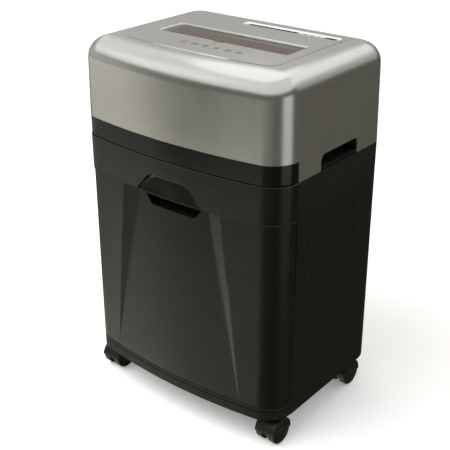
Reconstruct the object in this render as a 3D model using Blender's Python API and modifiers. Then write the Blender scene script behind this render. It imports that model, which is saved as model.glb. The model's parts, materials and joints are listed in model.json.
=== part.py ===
"""Paper shredder with a pull-out bin, on casters, as an assembly of separate pieces.

Metres, +Z up. The floor is z = 0, the front faces -Y and the origin is under the middle of the cabinet.
"""

import math

import bmesh
import bpy
from mathutils import Matrix, Vector

# Cabinet and head, seen from above
WIDTH = 0.370
DEPTH = 0.285
FRONT_BOW = 0.011
FRONT_CORNER = 0.043
REAR_CORNER = 0.042
SEAM_Y = -0.0868
SMALLEST_CORNER = 0.003

# Heights above the floor
CABINET_BOTTOM = 0.048
BASE_BAND_TOP = 0.0690
DRAWER_BOTTOM = 0.0695
CREASE = 0.3645
DRAWER_TOP = 0.4203
APRON_BOTTOM = 0.4204
COLLAR_BOTTOM = 0.4215
COVER_FRONT_EDGE = 0.4504
COLLAR_INSET = 0.0010
COVER_TOP = 0.5660

# Walls and running gaps
GAP = 0.0004
WALL = 0.003
COVER_WALL = 0.0028
THIN_WALL = 0.002
BAND_WALL = 0.0045

# Silver cover
COVER_DRAFT = 0.0024
TOP_EDGE_RADIUS = 0.031
GRIP_FRONT = -0.0353
GRIP_REAR = 0.0565
GRIP_TOP = 0.4435
GRIP_DEPTH = 0.0265
GRIP_REAR_RADIUS = 0.006
GRIP_FRONT_RADIUS = 0.010
WINDOW_RADIUS = 0.003

# Feed flap and throat
FLAP_HALF = 0.1140
FLAP_FRONT = -0.0220
FLAP_REAR = 0.0268
FLAP_DROP = 0.0035
FLAP_THICK = 0.002
FLAP_HINGE_Y = 0.0246
HINGE_PIN = 0.0015
TAB_HALF = 0.0080
TAB_REACH = 0.0045
TAB_RADIUS = 0.002
TAB_PLAY = 0.001
THROAT_HALF = 0.1200
THROAT_FRONT = -0.0310
THROAT_REAR = 0.0312
THROAT_DEEP = 0.004
FUNNEL_WALL = 0.0018
FUNNEL_REACH = 0.0075
FUNNEL_BOTTOM = 0.5125
SOCKET_REACH = 0.0035
SOCKET_HALF = 0.0019
SLOT_HALF = 0.1115
SLOT_Y = -0.0035
SLOT_WIDTH = 0.0075

# Card slot and slide switch, in one strip behind the flap
STRIP_LEFT = -0.0430
STRIP_RIGHT = 0.1275
STRIP_FRONT = 0.0810
STRIP_REAR = 0.0980
STRIP_DROP = 0.0012
STRIP_THICK = 0.0030
CHUTE_WALL = 0.0018
CHUTE_BOTTOM = 0.5460
CARD_LEFT = -0.0325
CARD_RIGHT = 0.0565
CARD_Y = 0.0880
CARD_GAP = 0.0052
RAMP_HIGH = (0.0932, 0.5452)
RAMP_LOW = (0.0120, 0.5060)
RAMP_THICK = 0.0016
SWITCH_X = 0.1125
SWITCH_Y = 0.0875
SWITCH_TRAVEL = 0.005
SWITCH_KNOB = 0.009
SWITCH_SLOT_HALF = 0.0014
SWITCH_BODY = (0.0120, 0.0045, 0.008)
SWITCH_STEM = (0.0018, 0.0010, 0.003)
SWITCH_KNOB_HALF_DEPTH = 0.0025

# Indicator lamp and mains cord gland
LAMP_X = 0.001
LAMP_Y = -0.037
LAMP_RADIUS = 0.0018
LAMP_SHOULDER = 0.0028
LAMP_STEM = 0.0031
LAMP_LENGTH = 0.0045
LAMP_CORE = 0.0004
GLAND_X = 0.120
GLAND_Z = 0.500
GLAND_HOLE = 0.0064
GLAND_BORE = 0.0036
GLAND_FLANGE = 0.0082
GLAND_NECK = 0.0070
GLAND_LENGTH = 0.0095

# Drawer front: tapering recess, finger hole and thumb dish
CREASE_STEP = 0.0012
CREASE_RISE = 0.0015
RECESS_DEPTH = 0.0105
RECESS_BOTTOM = 0.0760
RECESS_HALF_TOP = 0.0910
RECESS_HALF_BOTTOM = 0.1235
RECESS_FLOOR_TOP = 0.0665
HOLE_HALF_TOP = 0.0530
HOLE_HALF_BOTTOM = 0.0375
HOLE_BOTTOM = 0.3445
DISH_HALF_BOTTOM = 0.0600
DISH_HALF_TOP = 0.0350
DISH_TOP = 0.3955
DISH_DEPTH = 0.0055
DISH_BACKING = 0.009
POCKET_HALF = 0.058
POCKET_BACK = -0.104

# Side panels: tapering relief
RELIEF_DEPTH = 0.0025
RELIEF_TOP = 0.3485
RELIEF_BOTTOM = 0.0750
RELIEF_FRONT_TOP = -0.0487
RELIEF_FRONT_BOTTOM = -0.0770
RELIEF_REAR_TOP = 0.0700
RELIEF_REAR_BOTTOM = 0.0970
RELIEF_SLOPE = 0.005
RELIEF_LEDGE = 0.0015

# Bin
BIN_HALF = 0.1665
BIN_FRONT = -0.1258
BIN_BACK = 0.1250
BIN_CORNER = 0.030
BIN_BOTTOM = 0.0702
BIN_TOP = 0.3950
BIN_FRONT_TOP = 0.3320
RUNNER_X = 0.1150
RUNNER_WIDTH = 0.014

# Cutting head
AXIS_Z = 0.478
FRONT_AXIS_Y = -0.0215
REAR_AXIS_Y = 0.0145
SHAFT_RADIUS = 0.006
DISC_RADIUS = 0.020
SPACER_RADIUS = 0.015
DISC_COUNT = 12
DISC_PITCH = 0.018
DISC_THICK = 0.0082
STACK_HALF = 0.1135
SHAFT_RIGHT_END = 0.1220
PLATE_X = 0.1180
PLATE_THICK = 0.003
PLATE_BOTTOM = 0.4243
PLATE_TOP = 0.5150
BUSH_RADIUS = 0.0090
TRAY_BOTTOM = 0.4208
TRAY_TOP = 0.4238
TRAY_INSET = 0.0036
FALL_HALF = 0.1120
FALL_FRONT = -0.0480
FALL_REAR = 0.0410
PLATE_FRONT = -0.0520
PLATE_REAR = 0.0440
GEAR_PLATE_REAR = 0.1230
TIE_ROD_PLACES = {"tie_rod_front": -0.0440, "tie_rod_rear": 0.0370}
TIE_ROD_Z = 0.5050
TIE_ROD_RADIUS = 0.0028
BUSH_HALF = 0.0028
COMB_HALF = 0.1160
COMB_BAR = 0.006
COMB_CLEAR = 0.0012
FIT = 0.0002

# Gears: module in metres, and teeth
SYNC_MODULE = 0.00225
SYNC_TEETH = 16
DRIVE_MODULE = 0.002
DRIVE_TEETH = 36
IDLER_SMALL_TEETH = 10
MOTOR_MODULE = 0.0015
IDLER_LARGE_TEETH = 30
PINION_TEETH = 10
BACKLASH = 0.0005
PRESSURE_ANGLE = math.radians(20)
TOOTH_TIP = 1.0
TOOTH_ROOT = 1.25
FLANK_STEPS = 3
IDLER_PIN_RADIUS = 0.003
SYNC_FACE = (-0.1305, -0.1225)
DRIVE_FACE = (-0.1425, -0.1345)
IDLER_FACE = (-0.1430, -0.1300)
PINION_FACE = (-0.1305, -0.1235)
IDLER_Y = REAR_AXIS_Y + DRIVE_MODULE * (DRIVE_TEETH + IDLER_SMALL_TEETH) / 2
MOTOR_Y = IDLER_Y + MOTOR_MODULE * (IDLER_LARGE_TEETH + PINION_TEETH) / 2
MOTOR_RADIUS = 0.028
MOTOR_SHAFT = 0.004
MOTOR_FACE = (-0.1160, -0.0380)
MOTOR_CHAMFER = 0.004
MOTOR_BELL = 0.010

# Casters
CASTER_X = 0.161
CASTER_FRONT_Y = -0.086
CASTER_REAR_Y = 0.1085
CASTER_TRAIL = 0.013
WHEEL_RADIUS = 0.0205
WHEEL_WIDTH = 0.0115
WHEEL_SIDES = 18
WHEEL_GAP = 0.0055
AXLE_RADIUS = 0.0025
HOOD_RADIUS = 0.0222
HOOD_HALF = 0.0170
STEM_RADIUS = 0.004
SEAT_RADIUS = 0.0085
SEAT_BOTTOM = 0.0411
SEAT_TOP = CABINET_BOTTOM - 0.0006
HUB_RADIUS = 0.0060
HUB_DROP = 0.0018
DISH_RADIUS = 0.0160
DISH_DROP = 0.0030
RIM_RADIUS = 0.0180
AXLE_INSET = 0.0022
RUNNING_FIT = 0.0003
AXLE_Z = WHEEL_RADIUS * math.cos(math.pi / WHEEL_SIDES)

COLOURS = {
    "silver_plastic": ((0.52, 0.52, 0.50), 0.32, 0.65),
    "gloss_black": ((0.012, 0.012, 0.011), 0.10, 0.0),
    "satin_black": ((0.030, 0.030, 0.027), 0.32, 0.0),
    "grained_black": ((0.024, 0.024, 0.021), 0.45, 0.0),
    "tinted_plastic": ((0.17, 0.13, 0.09), 0.12, 0.0),
    "black_nylon": ((0.012, 0.012, 0.012), 0.50, 0.0),
    "cutter_steel": ((0.32, 0.32, 0.33), 0.35, 1.0),
    "zinc_steel": ((0.50, 0.50, 0.51), 0.40, 1.0),
    "gear_nylon": ((0.62, 0.60, 0.53), 0.45, 0.0),
    "motor_steel": ((0.22, 0.22, 0.23), 0.45, 0.8),
    "bronze": ((0.45, 0.29, 0.12), 0.40, 1.0),
    "circuit_board": ((0.03, 0.16, 0.06), 0.45, 0.0),
    "lamp_lens": ((0.45, 0.10, 0.04), 0.15, 0.0),
    "wheel_nylon": ((0.020, 0.020, 0.020), 0.40, 0.0),
    "soft_rubber": ((0.020, 0.020, 0.020), 0.75, 0.0),
}


def clear_scene():
    for item in list(bpy.data.objects):
        bpy.data.objects.remove(item)


def make_collection(name):
    collection = bpy.data.collections.new(name)
    bpy.context.scene.collection.children.link(collection)
    return collection


clear_scene()
PARTS = make_collection("paper_shredder")
CUTTERS = make_collection("cutters")
MATERIALS = {}


def material(name):
    if name not in MATERIALS:
        colour, roughness, metallic = COLOURS[name]
        made = bpy.data.materials.new(name)
        made.use_nodes = True
        shader = made.node_tree.nodes["Principled BSDF"]
        shader.inputs["Base Color"].default_value = (*colour, 1.0)
        shader.inputs["Roughness"].default_value = roughness
        shader.inputs["Metallic"].default_value = metallic
        made.diffuse_color = (*colour, 1.0)
        MATERIALS[name] = made
    return MATERIALS[name]


# ---------------------------------------------------------------- building blocks

def adopt(item, name, finish):
    """Names an object, gives it its material and puts it with the parts."""
    item.name = name
    item.data.name = name
    item.data.materials.clear()
    item.data.materials.append(material(finish))
    for collection in list(item.users_collection):
        collection.objects.unlink(item)
    PARTS.objects.link(item)
    return item


def as_cutter(item):
    for collection in list(item.users_collection):
        collection.objects.unlink(item)
    CUTTERS.objects.link(item)
    item.hide_render = True
    item.display_type = "WIRE"
    return item


def object_from_bmesh(name, shape):
    bmesh.ops.recalc_face_normals(shape, faces=shape.faces)
    mesh = bpy.data.meshes.new(name)
    shape.to_mesh(mesh)
    shape.free()
    item = bpy.data.objects.new(name, mesh)
    PARTS.objects.link(item)
    return item


def box(low, high):
    """Axis-aligned block between two corners."""
    low, high = Vector(low), Vector(high)
    shape = bmesh.new()
    bmesh.ops.create_cube(shape, size=1.0)
    bmesh.ops.scale(shape, vec=high - low, verts=shape.verts)
    bmesh.ops.translate(shape, vec=(low + high) / 2, verts=shape.verts)
    return object_from_bmesh("box", shape)


def rod(centre, radius, length, axis="Z", sides=16):
    """Solid cylinder centred on a point."""
    tilt = {"X": Matrix.Rotation(math.pi / 2, 3, "Y"), "Y": Matrix.Rotation(math.pi / 2, 3, "X")}
    shape = bmesh.new()
    bmesh.ops.create_cone(shape, cap_ends=True, segments=sides, radius1=radius, radius2=radius, depth=length)
    if axis in tilt:
        bmesh.ops.rotate(shape, cent=(0, 0, 0), matrix=tilt[axis], verts=shape.verts)
    bmesh.ops.translate(shape, vec=centre, verts=shape.verts)
    return object_from_bmesh("rod", shape)


def loft(sections):
    """Skin through closed sections with the same number of points, capped at both ends."""
    shape = bmesh.new()
    rows = [[shape.verts.new(point) for point in section] for section in sections]
    for lower, upper in zip(rows, rows[1:]):
        for index in range(len(lower)):
            after = (index + 1) % len(lower)
            shape.faces.new((lower[index], lower[after], upper[after], upper[index]))
    shape.faces.new(rows[0])
    shape.faces.new(rows[-1])
    return object_from_bmesh("loft", shape)


def plate(outline, low, high, plane="XY", holes=()):
    """Flat outline with holes, from a filled 2D curve, extruded between two heights over its plane."""
    curve = bpy.data.curves.new("plate", "CURVE")
    curve.dimensions = "2D"
    curve.fill_mode = "BOTH"
    curve.extrude = (high - low) / 2
    for loop in (outline, *holes):
        spline = curve.splines.new("POLY")
        spline.points.add(len(loop) - 1)
        for point, place in zip(spline.points, loop):
            point.co = (place[0], place[1], 0.0, 1.0)
        spline.use_cyclic_u = True
    guide = bpy.data.objects.new("plate", curve)
    PARTS.objects.link(guide)
    bpy.context.view_layer.update()
    evaluated = guide.evaluated_get(bpy.context.evaluated_depsgraph_get())
    mesh = bpy.data.meshes.new_from_object(evaluated)
    item = bpy.data.objects.new("plate", mesh)
    item.matrix_world = guide.matrix_world
    PARTS.objects.link(item)
    bpy.data.objects.remove(guide)
    shape = bmesh.new()
    shape.from_mesh(mesh)
    bmesh.ops.remove_doubles(shape, verts=shape.verts, dist=1e-5)
    middle = (low + high) / 2
    turns = {
        "XY": Matrix(((1, 0, 0), (0, 1, 0), (0, 0, 1))),
        "XZ": Matrix(((1, 0, 0), (0, 0, 1), (0, 1, 0))),
        "YZ": Matrix(((0, 0, 1), (1, 0, 0), (0, 1, 0))),
    }
    lifts = {"XY": (0, 0, middle), "XZ": (0, middle, 0), "YZ": (middle, 0, 0)}
    bmesh.ops.transform(shape, matrix=turns[plane].to_4x4(), verts=shape.verts)
    bmesh.ops.translate(shape, vec=lifts[plane], verts=shape.verts)
    bmesh.ops.recalc_face_normals(shape, faces=shape.faces)
    shape.to_mesh(mesh)
    shape.free()
    return item


def combine(item, other, operation):
    """Boolean of two objects, applied; the second object is used up."""
    as_cutter(other)
    step = item.modifiers.new(operation.lower(), "BOOLEAN")
    step.operation = operation
    step.solver = "EXACT"
    step.object = other
    bpy.context.view_layer.update()
    evaluated = item.evaluated_get(bpy.context.evaluated_depsgraph_get())
    mesh = bpy.data.meshes.new_from_object(evaluated)
    item.modifiers.clear()
    item.data = mesh
    bpy.data.objects.remove(other)
    return item


def cut(item, *cutters):
    for cutter in cutters:
        combine(item, cutter, "DIFFERENCE")
    return item


def join(item, *others):
    for other in others:
        combine(item, other, "UNION")
    return item


def turned(profile, centre, axis="Z", steps=16, closed=True):
    """Profile of (radius, height) points, down the outside, turned about an axis by Screw."""
    shape = bmesh.new()
    points = [shape.verts.new((radius, 0.0, height)) for radius, height in profile]
    ends = points[1:] + points[:1] if closed else points[1:]
    for first, second in zip(points, ends):
        shape.edges.new((first, second))
    mesh = bpy.data.meshes.new("turned")
    shape.to_mesh(mesh)
    shape.free()
    item = bpy.data.objects.new("turned", mesh)
    PARTS.objects.link(item)
    turn = item.modifiers.new("turn", "SCREW")
    turn.steps = steps
    turn.render_steps = steps
    turn.use_merge_vertices = True
    turn.merge_threshold = 1e-6
    tilts = {"X": (0, math.pi / 2, 0), "Y": (-math.pi / 2, 0, 0), "Z": (0, 0, 0)}
    item.rotation_euler = tilts[axis]
    item.location = centre
    return item


def smooth(item, angle=35):
    item.data.shade_smooth()
    item.data.set_sharp_from_angle(angle=math.radians(angle))
    return item


def set_origin(item, place):
    """Moves the object's origin to a point on its joint, leaving its shape where it is."""
    bpy.context.view_layer.update()
    item.data.transform(item.matrix_world)
    item.matrix_world = Matrix.Identity(4)
    item.data.transform(Matrix.Translation(-Vector(place)))
    item.location = place
    return item


def rounded(corners, radii, steps=4):
    """Outline with each corner replaced by an arc of its own radius."""
    outline = []
    count = len(corners)
    for index, corner in enumerate(corners):
        here = Vector(corner)
        before = (Vector(corners[index - 1]) - here).normalized()
        after = (Vector(corners[(index + 1) % count]) - here).normalized()
        radius = radii[index]
        if radius == 0:
            outline.append(tuple(here))
            continue
        half = before.angle(after) / 2
        reach = radius / math.tan(half)
        centre = here + (before + after).normalized() * (radius / math.sin(half))
        start = here + before * reach - centre
        stop = here + after * reach - centre
        sweep = start.angle_signed(stop)
        for step in range(steps + 1):
            turn = Matrix.Rotation(-sweep * step / steps, 2)
            outline.append(tuple(centre + turn @ start))
    return outline


def rectangle(left, bottom, right, top, radius=0.0, steps=3):
    corners = [(left, bottom), (right, bottom), (right, top), (left, top)]
    return rounded(corners, [radius] * 4, steps)


def circle(centre, radius, sides=16):
    turns = [2 * math.pi * index / sides for index in range(sides)]
    return [(centre[0] + radius * math.cos(a), centre[1] + radius * math.sin(a)) for a in turns]


# ---------------------------------------------------------------- plan of the cabinet

FRONT_SLOPE = math.atan(2 * FRONT_BOW / (WIDTH / 2 - FRONT_CORNER))


def front_end(inset):
    """Where the bow meets the corner arc: x, and the centre and radius of the arc."""
    radius = max(FRONT_CORNER - inset, SMALLEST_CORNER)
    centre_x = WIDTH / 2 - inset - radius
    end_x = centre_x + radius * math.sin(FRONT_SLOPE)
    centre_y = front_y(end_x, inset) + radius * math.cos(FRONT_SLOPE)
    return end_x, Vector((centre_x, centre_y)), radius


def front_y(x, inset):
    """The bowed front is a shallow parabola."""
    half = WIDTH / 2 - FRONT_CORNER
    return -DEPTH / 2 + inset + FRONT_BOW * (x / half) ** 2


def front_corner(inset, steps):
    """Right-hand corner arc from the end of the bow to the side."""
    _, centre, radius = front_end(inset)
    start = -math.pi / 2 + FRONT_SLOPE
    return [
        (
            centre.x + radius * math.cos(start * (1 - step / steps)),
            centre.y + radius * math.sin(start * (1 - step / steps)),
        )
        for step in range(steps + 1)
    ]


def rear_corner(inset, steps):
    """Right-hand rear corner arc from the side to the back."""
    radius = max(REAR_CORNER - inset, SMALLEST_CORNER)
    centre = (WIDTH / 2 - inset - radius, DEPTH / 2 - inset - radius)
    return [
        (
            centre[0] + radius * math.cos(math.pi / 2 * step / steps),
            centre[1] + radius * math.sin(math.pi / 2 * step / steps),
        )
        for step in range(steps + 1)
    ]


def mirrored(points):
    return [(-x, y) for x, y in reversed(points)]


def front_run(inset, bow_steps=8, corner_steps=5):
    """Plan line across the front, from the left seam to the right seam."""
    end_x, _, _ = front_end(inset)
    corner = front_corner(inset, corner_steps)
    bow_xs = [end_x * (2 * step / bow_steps - 1) for step in range(1, bow_steps)]
    bow = [(x, front_y(x, inset)) for x in bow_xs]
    seam = [(WIDTH / 2 - inset, SEAM_Y)]
    return mirrored(seam) + mirrored(corner) + bow + corner + seam


def plan_ring(inset, bow_steps=8, corner_steps=5):
    """Whole plan outline, anticlockwise from the left seam."""
    rear = rear_corner(inset, corner_steps)
    return front_run(inset, bow_steps, corner_steps) + rear + mirrored(rear)


def ring_at(inset, z, **steps):
    return [(x, y, z) for x, y in plan_ring(inset, **steps)]


# ---------------------------------------------------------------- head

def cover_levels(wall, arc_steps):
    """Inset and height of the rings of the silver cover, bottom to top, moved inwards by a wall."""
    shoulder = COVER_TOP - TOP_EDGE_RADIUS
    radius = TOP_EDGE_RADIUS - wall
    levels = [(wall, APRON_BOTTOM)]
    for step in range(arc_steps + 1):
        turn = math.pi / 2 * step / arc_steps
        inset = COVER_DRAFT + wall + radius * (1 - math.cos(turn))
        levels.append((inset, shoulder + radius * math.sin(turn)))
    return levels


def make_cover():
    outside = [ring_at(inset, z) for inset, z in cover_levels(0.0, 6)]
    inside = [ring_at(inset, z) for inset, z in cover_levels(COVER_WALL, 4)]
    cover = loft(inside[::-1] + outside)
    front = box((-WIDTH, -DEPTH, 0.3), (WIDTH, SEAM_Y, COVER_FRONT_EDGE))
    corners = [(GRIP_FRONT, 0.40), (GRIP_REAR, 0.40), (GRIP_REAR, GRIP_TOP), (GRIP_FRONT, GRIP_TOP)]
    grips = plate(rounded(corners, [0, 0, GRIP_REAR_RADIUS, GRIP_FRONT_RADIUS]), -WIDTH, WIDTH, "YZ")
    above, below = COVER_TOP + 0.01, COVER_TOP - 0.01
    window_half = FLAP_HALF + GAP
    window = rectangle(-window_half, FLAP_FRONT - GAP, window_half, FLAP_REAR + GAP, WINDOW_RADIUS)
    tab_half = TAB_HALF + TAB_PLAY
    tab_front = FLAP_FRONT - TAB_REACH - TAB_PLAY
    tab = rectangle(-tab_half, tab_front, tab_half, FLAP_FRONT + 0.01, TAB_RADIUS)
    strip = rectangle(STRIP_LEFT, STRIP_FRONT, STRIP_RIGHT, STRIP_REAR, WINDOW_RADIUS)
    lamp = rod((LAMP_X, LAMP_Y, COVER_TOP), LAMP_RADIUS + GAP, 0.02, sides=12)
    gland = rod((GLAND_X, DEPTH / 2, GLAND_Z), GLAND_HOLE, 0.03, "Y")
    cut(cover, front, grips, plate(window, below, above), plate(tab, below, above))
    cut(cover, plate(strip, below, above), lamp, gland)
    return adopt(smooth(cover, 25), "top_cover", "silver_plastic")


def front_band(low, high, inset, wall):
    """Upright strip across the front, from seam to seam."""
    sections = []
    for (x, y), (x_in, y_in) in zip(front_run(inset), front_run(inset + wall)):
        y = min(y, SEAM_Y - GAP)
        y_in = min(y_in, SEAM_Y - GAP)
        sections.append([(x, y, low), (x, y, high), (x_in, y_in, high), (x_in, y_in, low)])
    return loft(sections)


def make_collar():
    """Band under the cover's front edge."""
    collar = front_band(COLLAR_BOTTOM, COVER_FRONT_EDGE - GAP, COLLAR_INSET, THIN_WALL)
    return adopt(smooth(collar), "front_collar", "gloss_black")


def make_flap():
    """Tinted flap with a finger tab in front and a hinge bar with pins along its rear edge."""
    top = COVER_TOP - FLAP_DROP
    bottom = top - FLAP_THICK
    outline = rectangle(-FLAP_HALF + GAP, FLAP_FRONT + GAP, FLAP_HALF - GAP, FLAP_HINGE_Y, 0.002)
    tab = rectangle(-TAB_HALF, FLAP_FRONT - TAB_REACH, TAB_HALF, FLAP_FRONT + 0.006, 0.002)
    flap = plate(outline, bottom, top)
    hinge_z = top - HINGE_PIN
    pin = rod((0, FLAP_HINGE_Y, hinge_z), HINGE_PIN, 2 * (FLAP_HALF + 0.003), "X", 12)
    join(flap, plate(tab, bottom + 0.0002, top - 0.0002), pin)
    set_origin(flap, (0, FLAP_HINGE_Y, hinge_z))
    return adopt(flap, "feed_flap", "tinted_plastic")


def make_throat():
    """Frame under the window with a shallow tray for the flap, the hinge sockets and the paper slot."""
    top = COVER_TOP - COVER_WALL - GAP
    flap_bottom = COVER_TOP - FLAP_DROP - FLAP_THICK
    above = COVER_TOP + 0.01
    frame = box((-THROAT_HALF, THROAT_FRONT, flap_bottom - THROAT_DEEP), (THROAT_HALF, THROAT_REAR, top))
    funnel_half = SLOT_HALF + FUNNEL_WALL
    front, rear = SLOT_Y - FUNNEL_REACH, SLOT_Y + FUNNEL_REACH
    join(frame, box((-funnel_half, front, FUNNEL_BOTTOM), (funnel_half, rear, flap_bottom - 0.003)))
    tray_front = FLAP_FRONT - TAB_REACH - TAB_PLAY
    tray_half = FLAP_HALF + GAP
    tray = box((-tray_half, tray_front, flap_bottom - GAP), (tray_half, FLAP_REAR, above))
    hinge_z = COVER_TOP - FLAP_DROP - HINGE_PIN
    socket_half = FLAP_HALF + SOCKET_REACH
    sockets = box(
        (-socket_half, FLAP_HINGE_Y - SOCKET_HALF, hinge_z - SOCKET_HALF),
        (socket_half, FLAP_HINGE_Y + SOCKET_HALF, above),
    )
    slot = box(
        (-SLOT_HALF, SLOT_Y - SLOT_WIDTH / 2, FUNNEL_BOTTOM - 0.01),
        (SLOT_HALF, SLOT_Y + SLOT_WIDTH / 2, above),
    )
    cut(frame, tray, sockets, slot)
    return adopt(frame, "feed_throat", "black_nylon")


def make_card_strip():
    """Shallow strip with the card slot, its short chute and the slot of the slide switch."""
    top = COVER_TOP - STRIP_DROP
    outline = rectangle(STRIP_LEFT + GAP, STRIP_FRONT + GAP, STRIP_RIGHT - GAP, STRIP_REAR - GAP, 0.0026)
    card = rectangle(CARD_LEFT, CARD_Y - CARD_GAP / 2, CARD_RIGHT, CARD_Y + CARD_GAP / 2)
    reach = SWITCH_TRAVEL + SWITCH_KNOB / 2 - 0.0015
    front, rear = SWITCH_Y - SWITCH_SLOT_HALF, SWITCH_Y + SWITCH_SLOT_HALF
    slot = rectangle(SWITCH_X - reach, front, SWITCH_X + reach, rear)
    strip = plate(outline, top - STRIP_THICK, top, holes=[card, slot])
    half = CARD_GAP / 2 + CHUTE_WALL
    around = rectangle(CARD_LEFT - CHUTE_WALL, CARD_Y - half, CARD_RIGHT + CHUTE_WALL, CARD_Y + half)
    join(strip, plate(around, CHUTE_BOTTOM, top - STRIP_THICK + 0.0005, holes=[card]))
    return adopt(strip, "card_slot_strip", "silver_plastic")


def make_card_ramp():
    """Sloping guide from the card chute down to the cutters."""
    high, low = Vector(RAMP_HIGH), Vector(RAMP_LOW)
    slope = (high - low).normalized()
    under = Vector((slope.y, -slope.x)) * RAMP_THICK
    outline = [tuple(low), tuple(high), tuple(high + under), tuple(low + under)]
    ramp = plate(outline, CARD_LEFT - CHUTE_WALL, CARD_RIGHT + CHUTE_WALL, "YZ")
    return adopt(ramp, "card_ramp", "black_nylon")


def make_switch():
    """Slide switch: a fixed body under the strip and a ribbed knob that travels in its slot."""
    strip_top = COVER_TOP - STRIP_DROP
    under = strip_top - STRIP_THICK - GAP
    half_x, half_y, deep = SWITCH_BODY
    body_low = (SWITCH_X - half_x, SWITCH_Y - half_y, under - deep)
    body = box(body_low, (SWITCH_X + half_x, SWITCH_Y + half_y, under))
    stem_x, stem_y, stem_deep = SWITCH_STEM
    reach = SWITCH_TRAVEL + stem_x + GAP
    front, rear = SWITCH_Y - SWITCH_SLOT_HALF, SWITCH_Y + SWITCH_SLOT_HALF
    groove = box((SWITCH_X - reach, front, under - stem_deep - 0.001), (SWITCH_X + reach, rear, COVER_TOP))
    adopt(cut(body, groove), "mode_switch_body", "black_nylon")
    half, half_deep = SWITCH_KNOB / 2, SWITCH_KNOB_HALF_DEPTH
    low, top = strip_top + GAP, COVER_TOP - FIT
    knob = box((SWITCH_X - half, SWITCH_Y - half_deep, low), (SWITCH_X + half, SWITCH_Y + half_deep, top))
    stem_low = (SWITCH_X - stem_x, SWITCH_Y - stem_y, under - stem_deep)
    join(knob, box(stem_low, (SWITCH_X + stem_x, SWITCH_Y + stem_y, low + 0.0003)))
    set_origin(knob, (SWITCH_X, SWITCH_Y, strip_top))
    adopt(knob, "mode_switch_knob", "black_nylon")


def make_lamp():
    """Round lens flush with the cover, with a shoulder under it."""
    top = COVER_TOP - 0.0001
    shoulder, bottom = top - LAMP_STEM, top - LAMP_LENGTH
    profile = [
        (LAMP_CORE, top), (LAMP_RADIUS, top), (LAMP_RADIUS, shoulder + FIT), (LAMP_SHOULDER, shoulder),
        (LAMP_SHOULDER, bottom), (LAMP_CORE, bottom),
    ]
    lens = turned(profile, (LAMP_X, LAMP_Y, 0), steps=12)
    return adopt(smooth(lens), "status_lamp_lens", "lamp_lens")


def make_gland():
    """Grommet in the back of the cover for the mains cord."""
    neck = GLAND_HOLE - GAP
    profile = [
        (GLAND_BORE, 0.0), (neck, 0.0), (neck, -GLAND_NECK), (GLAND_FLANGE, -GLAND_NECK),
        (GLAND_FLANGE, -GLAND_LENGTH), (GLAND_BORE, -GLAND_LENGTH),
    ]
    ring = turned(profile, (GLAND_X, DEPTH / 2 - 0.0005, GLAND_Z), "Y", 16)
    return adopt(smooth(ring), "cord_gland", "soft_rubber")


def make_tray():
    """Plate that carries the cutting head, with a finger pocket behind each carry notch."""
    fall = rectangle(-FALL_HALF, FALL_FRONT, FALL_HALF, FALL_REAR, 0.004)
    tray = plate(plan_ring(TRAY_INSET), TRAY_BOTTOM, TRAY_TOP, holes=[fall])
    inner = WIDTH / 2 - GRIP_DEPTH
    outer = WIDTH / 2 - COVER_WALL - COVER_DRAFT - GAP
    for side in (-1, 1):
        left, right = sorted((side * (inner - THIN_WALL), side * outer))
        front, rear = GRIP_FRONT - 0.005, GRIP_REAR + 0.005
        join(tray, box((left, front, TRAY_TOP - 0.001), (right, rear, GRIP_TOP + 0.0045)))
    for side in (-1, 1):
        left, right = sorted((side * inner, side * WIDTH))
        front, rear = GRIP_FRONT - 0.003, GRIP_REAR + 0.003
        cut(tray, box((left, front, TRAY_TOP - 0.0006), (right, rear, GRIP_TOP + 0.0025)))
    return adopt(tray, "head_tray", "black_nylon")


# ---------------------------------------------------------------- cutting head and drive

def disc_xs(shift):
    first = -DISC_PITCH * (DISC_COUNT - 1) / 2 + shift
    return [first + DISC_PITCH * index for index in range(DISC_COUNT)]


def make_cutter(name, y, shift, left_end):
    """Turned shaft with its cutting discs and spacers."""
    profile = [(0.0, SHAFT_RIGHT_END), (SHAFT_RADIUS, SHAFT_RIGHT_END)]
    profile += [(SHAFT_RADIUS, STACK_HALF), (SPACER_RADIUS, STACK_HALF)]
    for x in reversed(disc_xs(shift)):
        half = DISC_THICK / 2
        profile += [(SPACER_RADIUS, x + half), (DISC_RADIUS, x + half)]
        profile += [(DISC_RADIUS, x - half), (SPACER_RADIUS, x - half)]
    profile += [(SPACER_RADIUS, -STACK_HALF), (SHAFT_RADIUS, -STACK_HALF)]
    profile += [(SHAFT_RADIUS, left_end), (0.0, left_end)]
    shaft = turned(profile, (0, y, AXIS_Z), "X", 12, closed=False)
    return adopt(shaft, name, "cutter_steel")


def involute(angle):
    return math.tan(angle) - angle


def gear_outline(centre, teeth, module, tooth_at):
    """Gear outline with involute flanks; one tooth points along the angle tooth_at."""
    pitch = module * teeth / 2
    outer = pitch + TOOTH_TIP * module
    inner = pitch - TOOTH_ROOT * module
    base = pitch * math.cos(PRESSURE_ANGLE)
    half = math.pi / (2 * teeth) - BACKLASH / 2 / pitch + involute(PRESSURE_ANGLE)
    low = max(base, inner)
    flank = []
    for step in range(FLANK_STEPS + 1):
        radius = low + (outer - low) * step / FLANK_STEPS
        flank.append((radius, half - involute(math.acos(min(base / radius, 1.0)))))
    if inner < base:
        flank.insert(0, (inner, flank[0][1]))
    profile = [(radius, -turn) for radius, turn in flank] + flank[::-1]
    outline = []
    for tooth in range(teeth):
        middle = tooth_at + 2 * math.pi * tooth / teeth
        for radius, turn in profile:
            angle = middle + turn
            outline.append((centre[0] + radius * math.cos(angle), centre[1] + radius * math.sin(angle)))
    return outline


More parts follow.
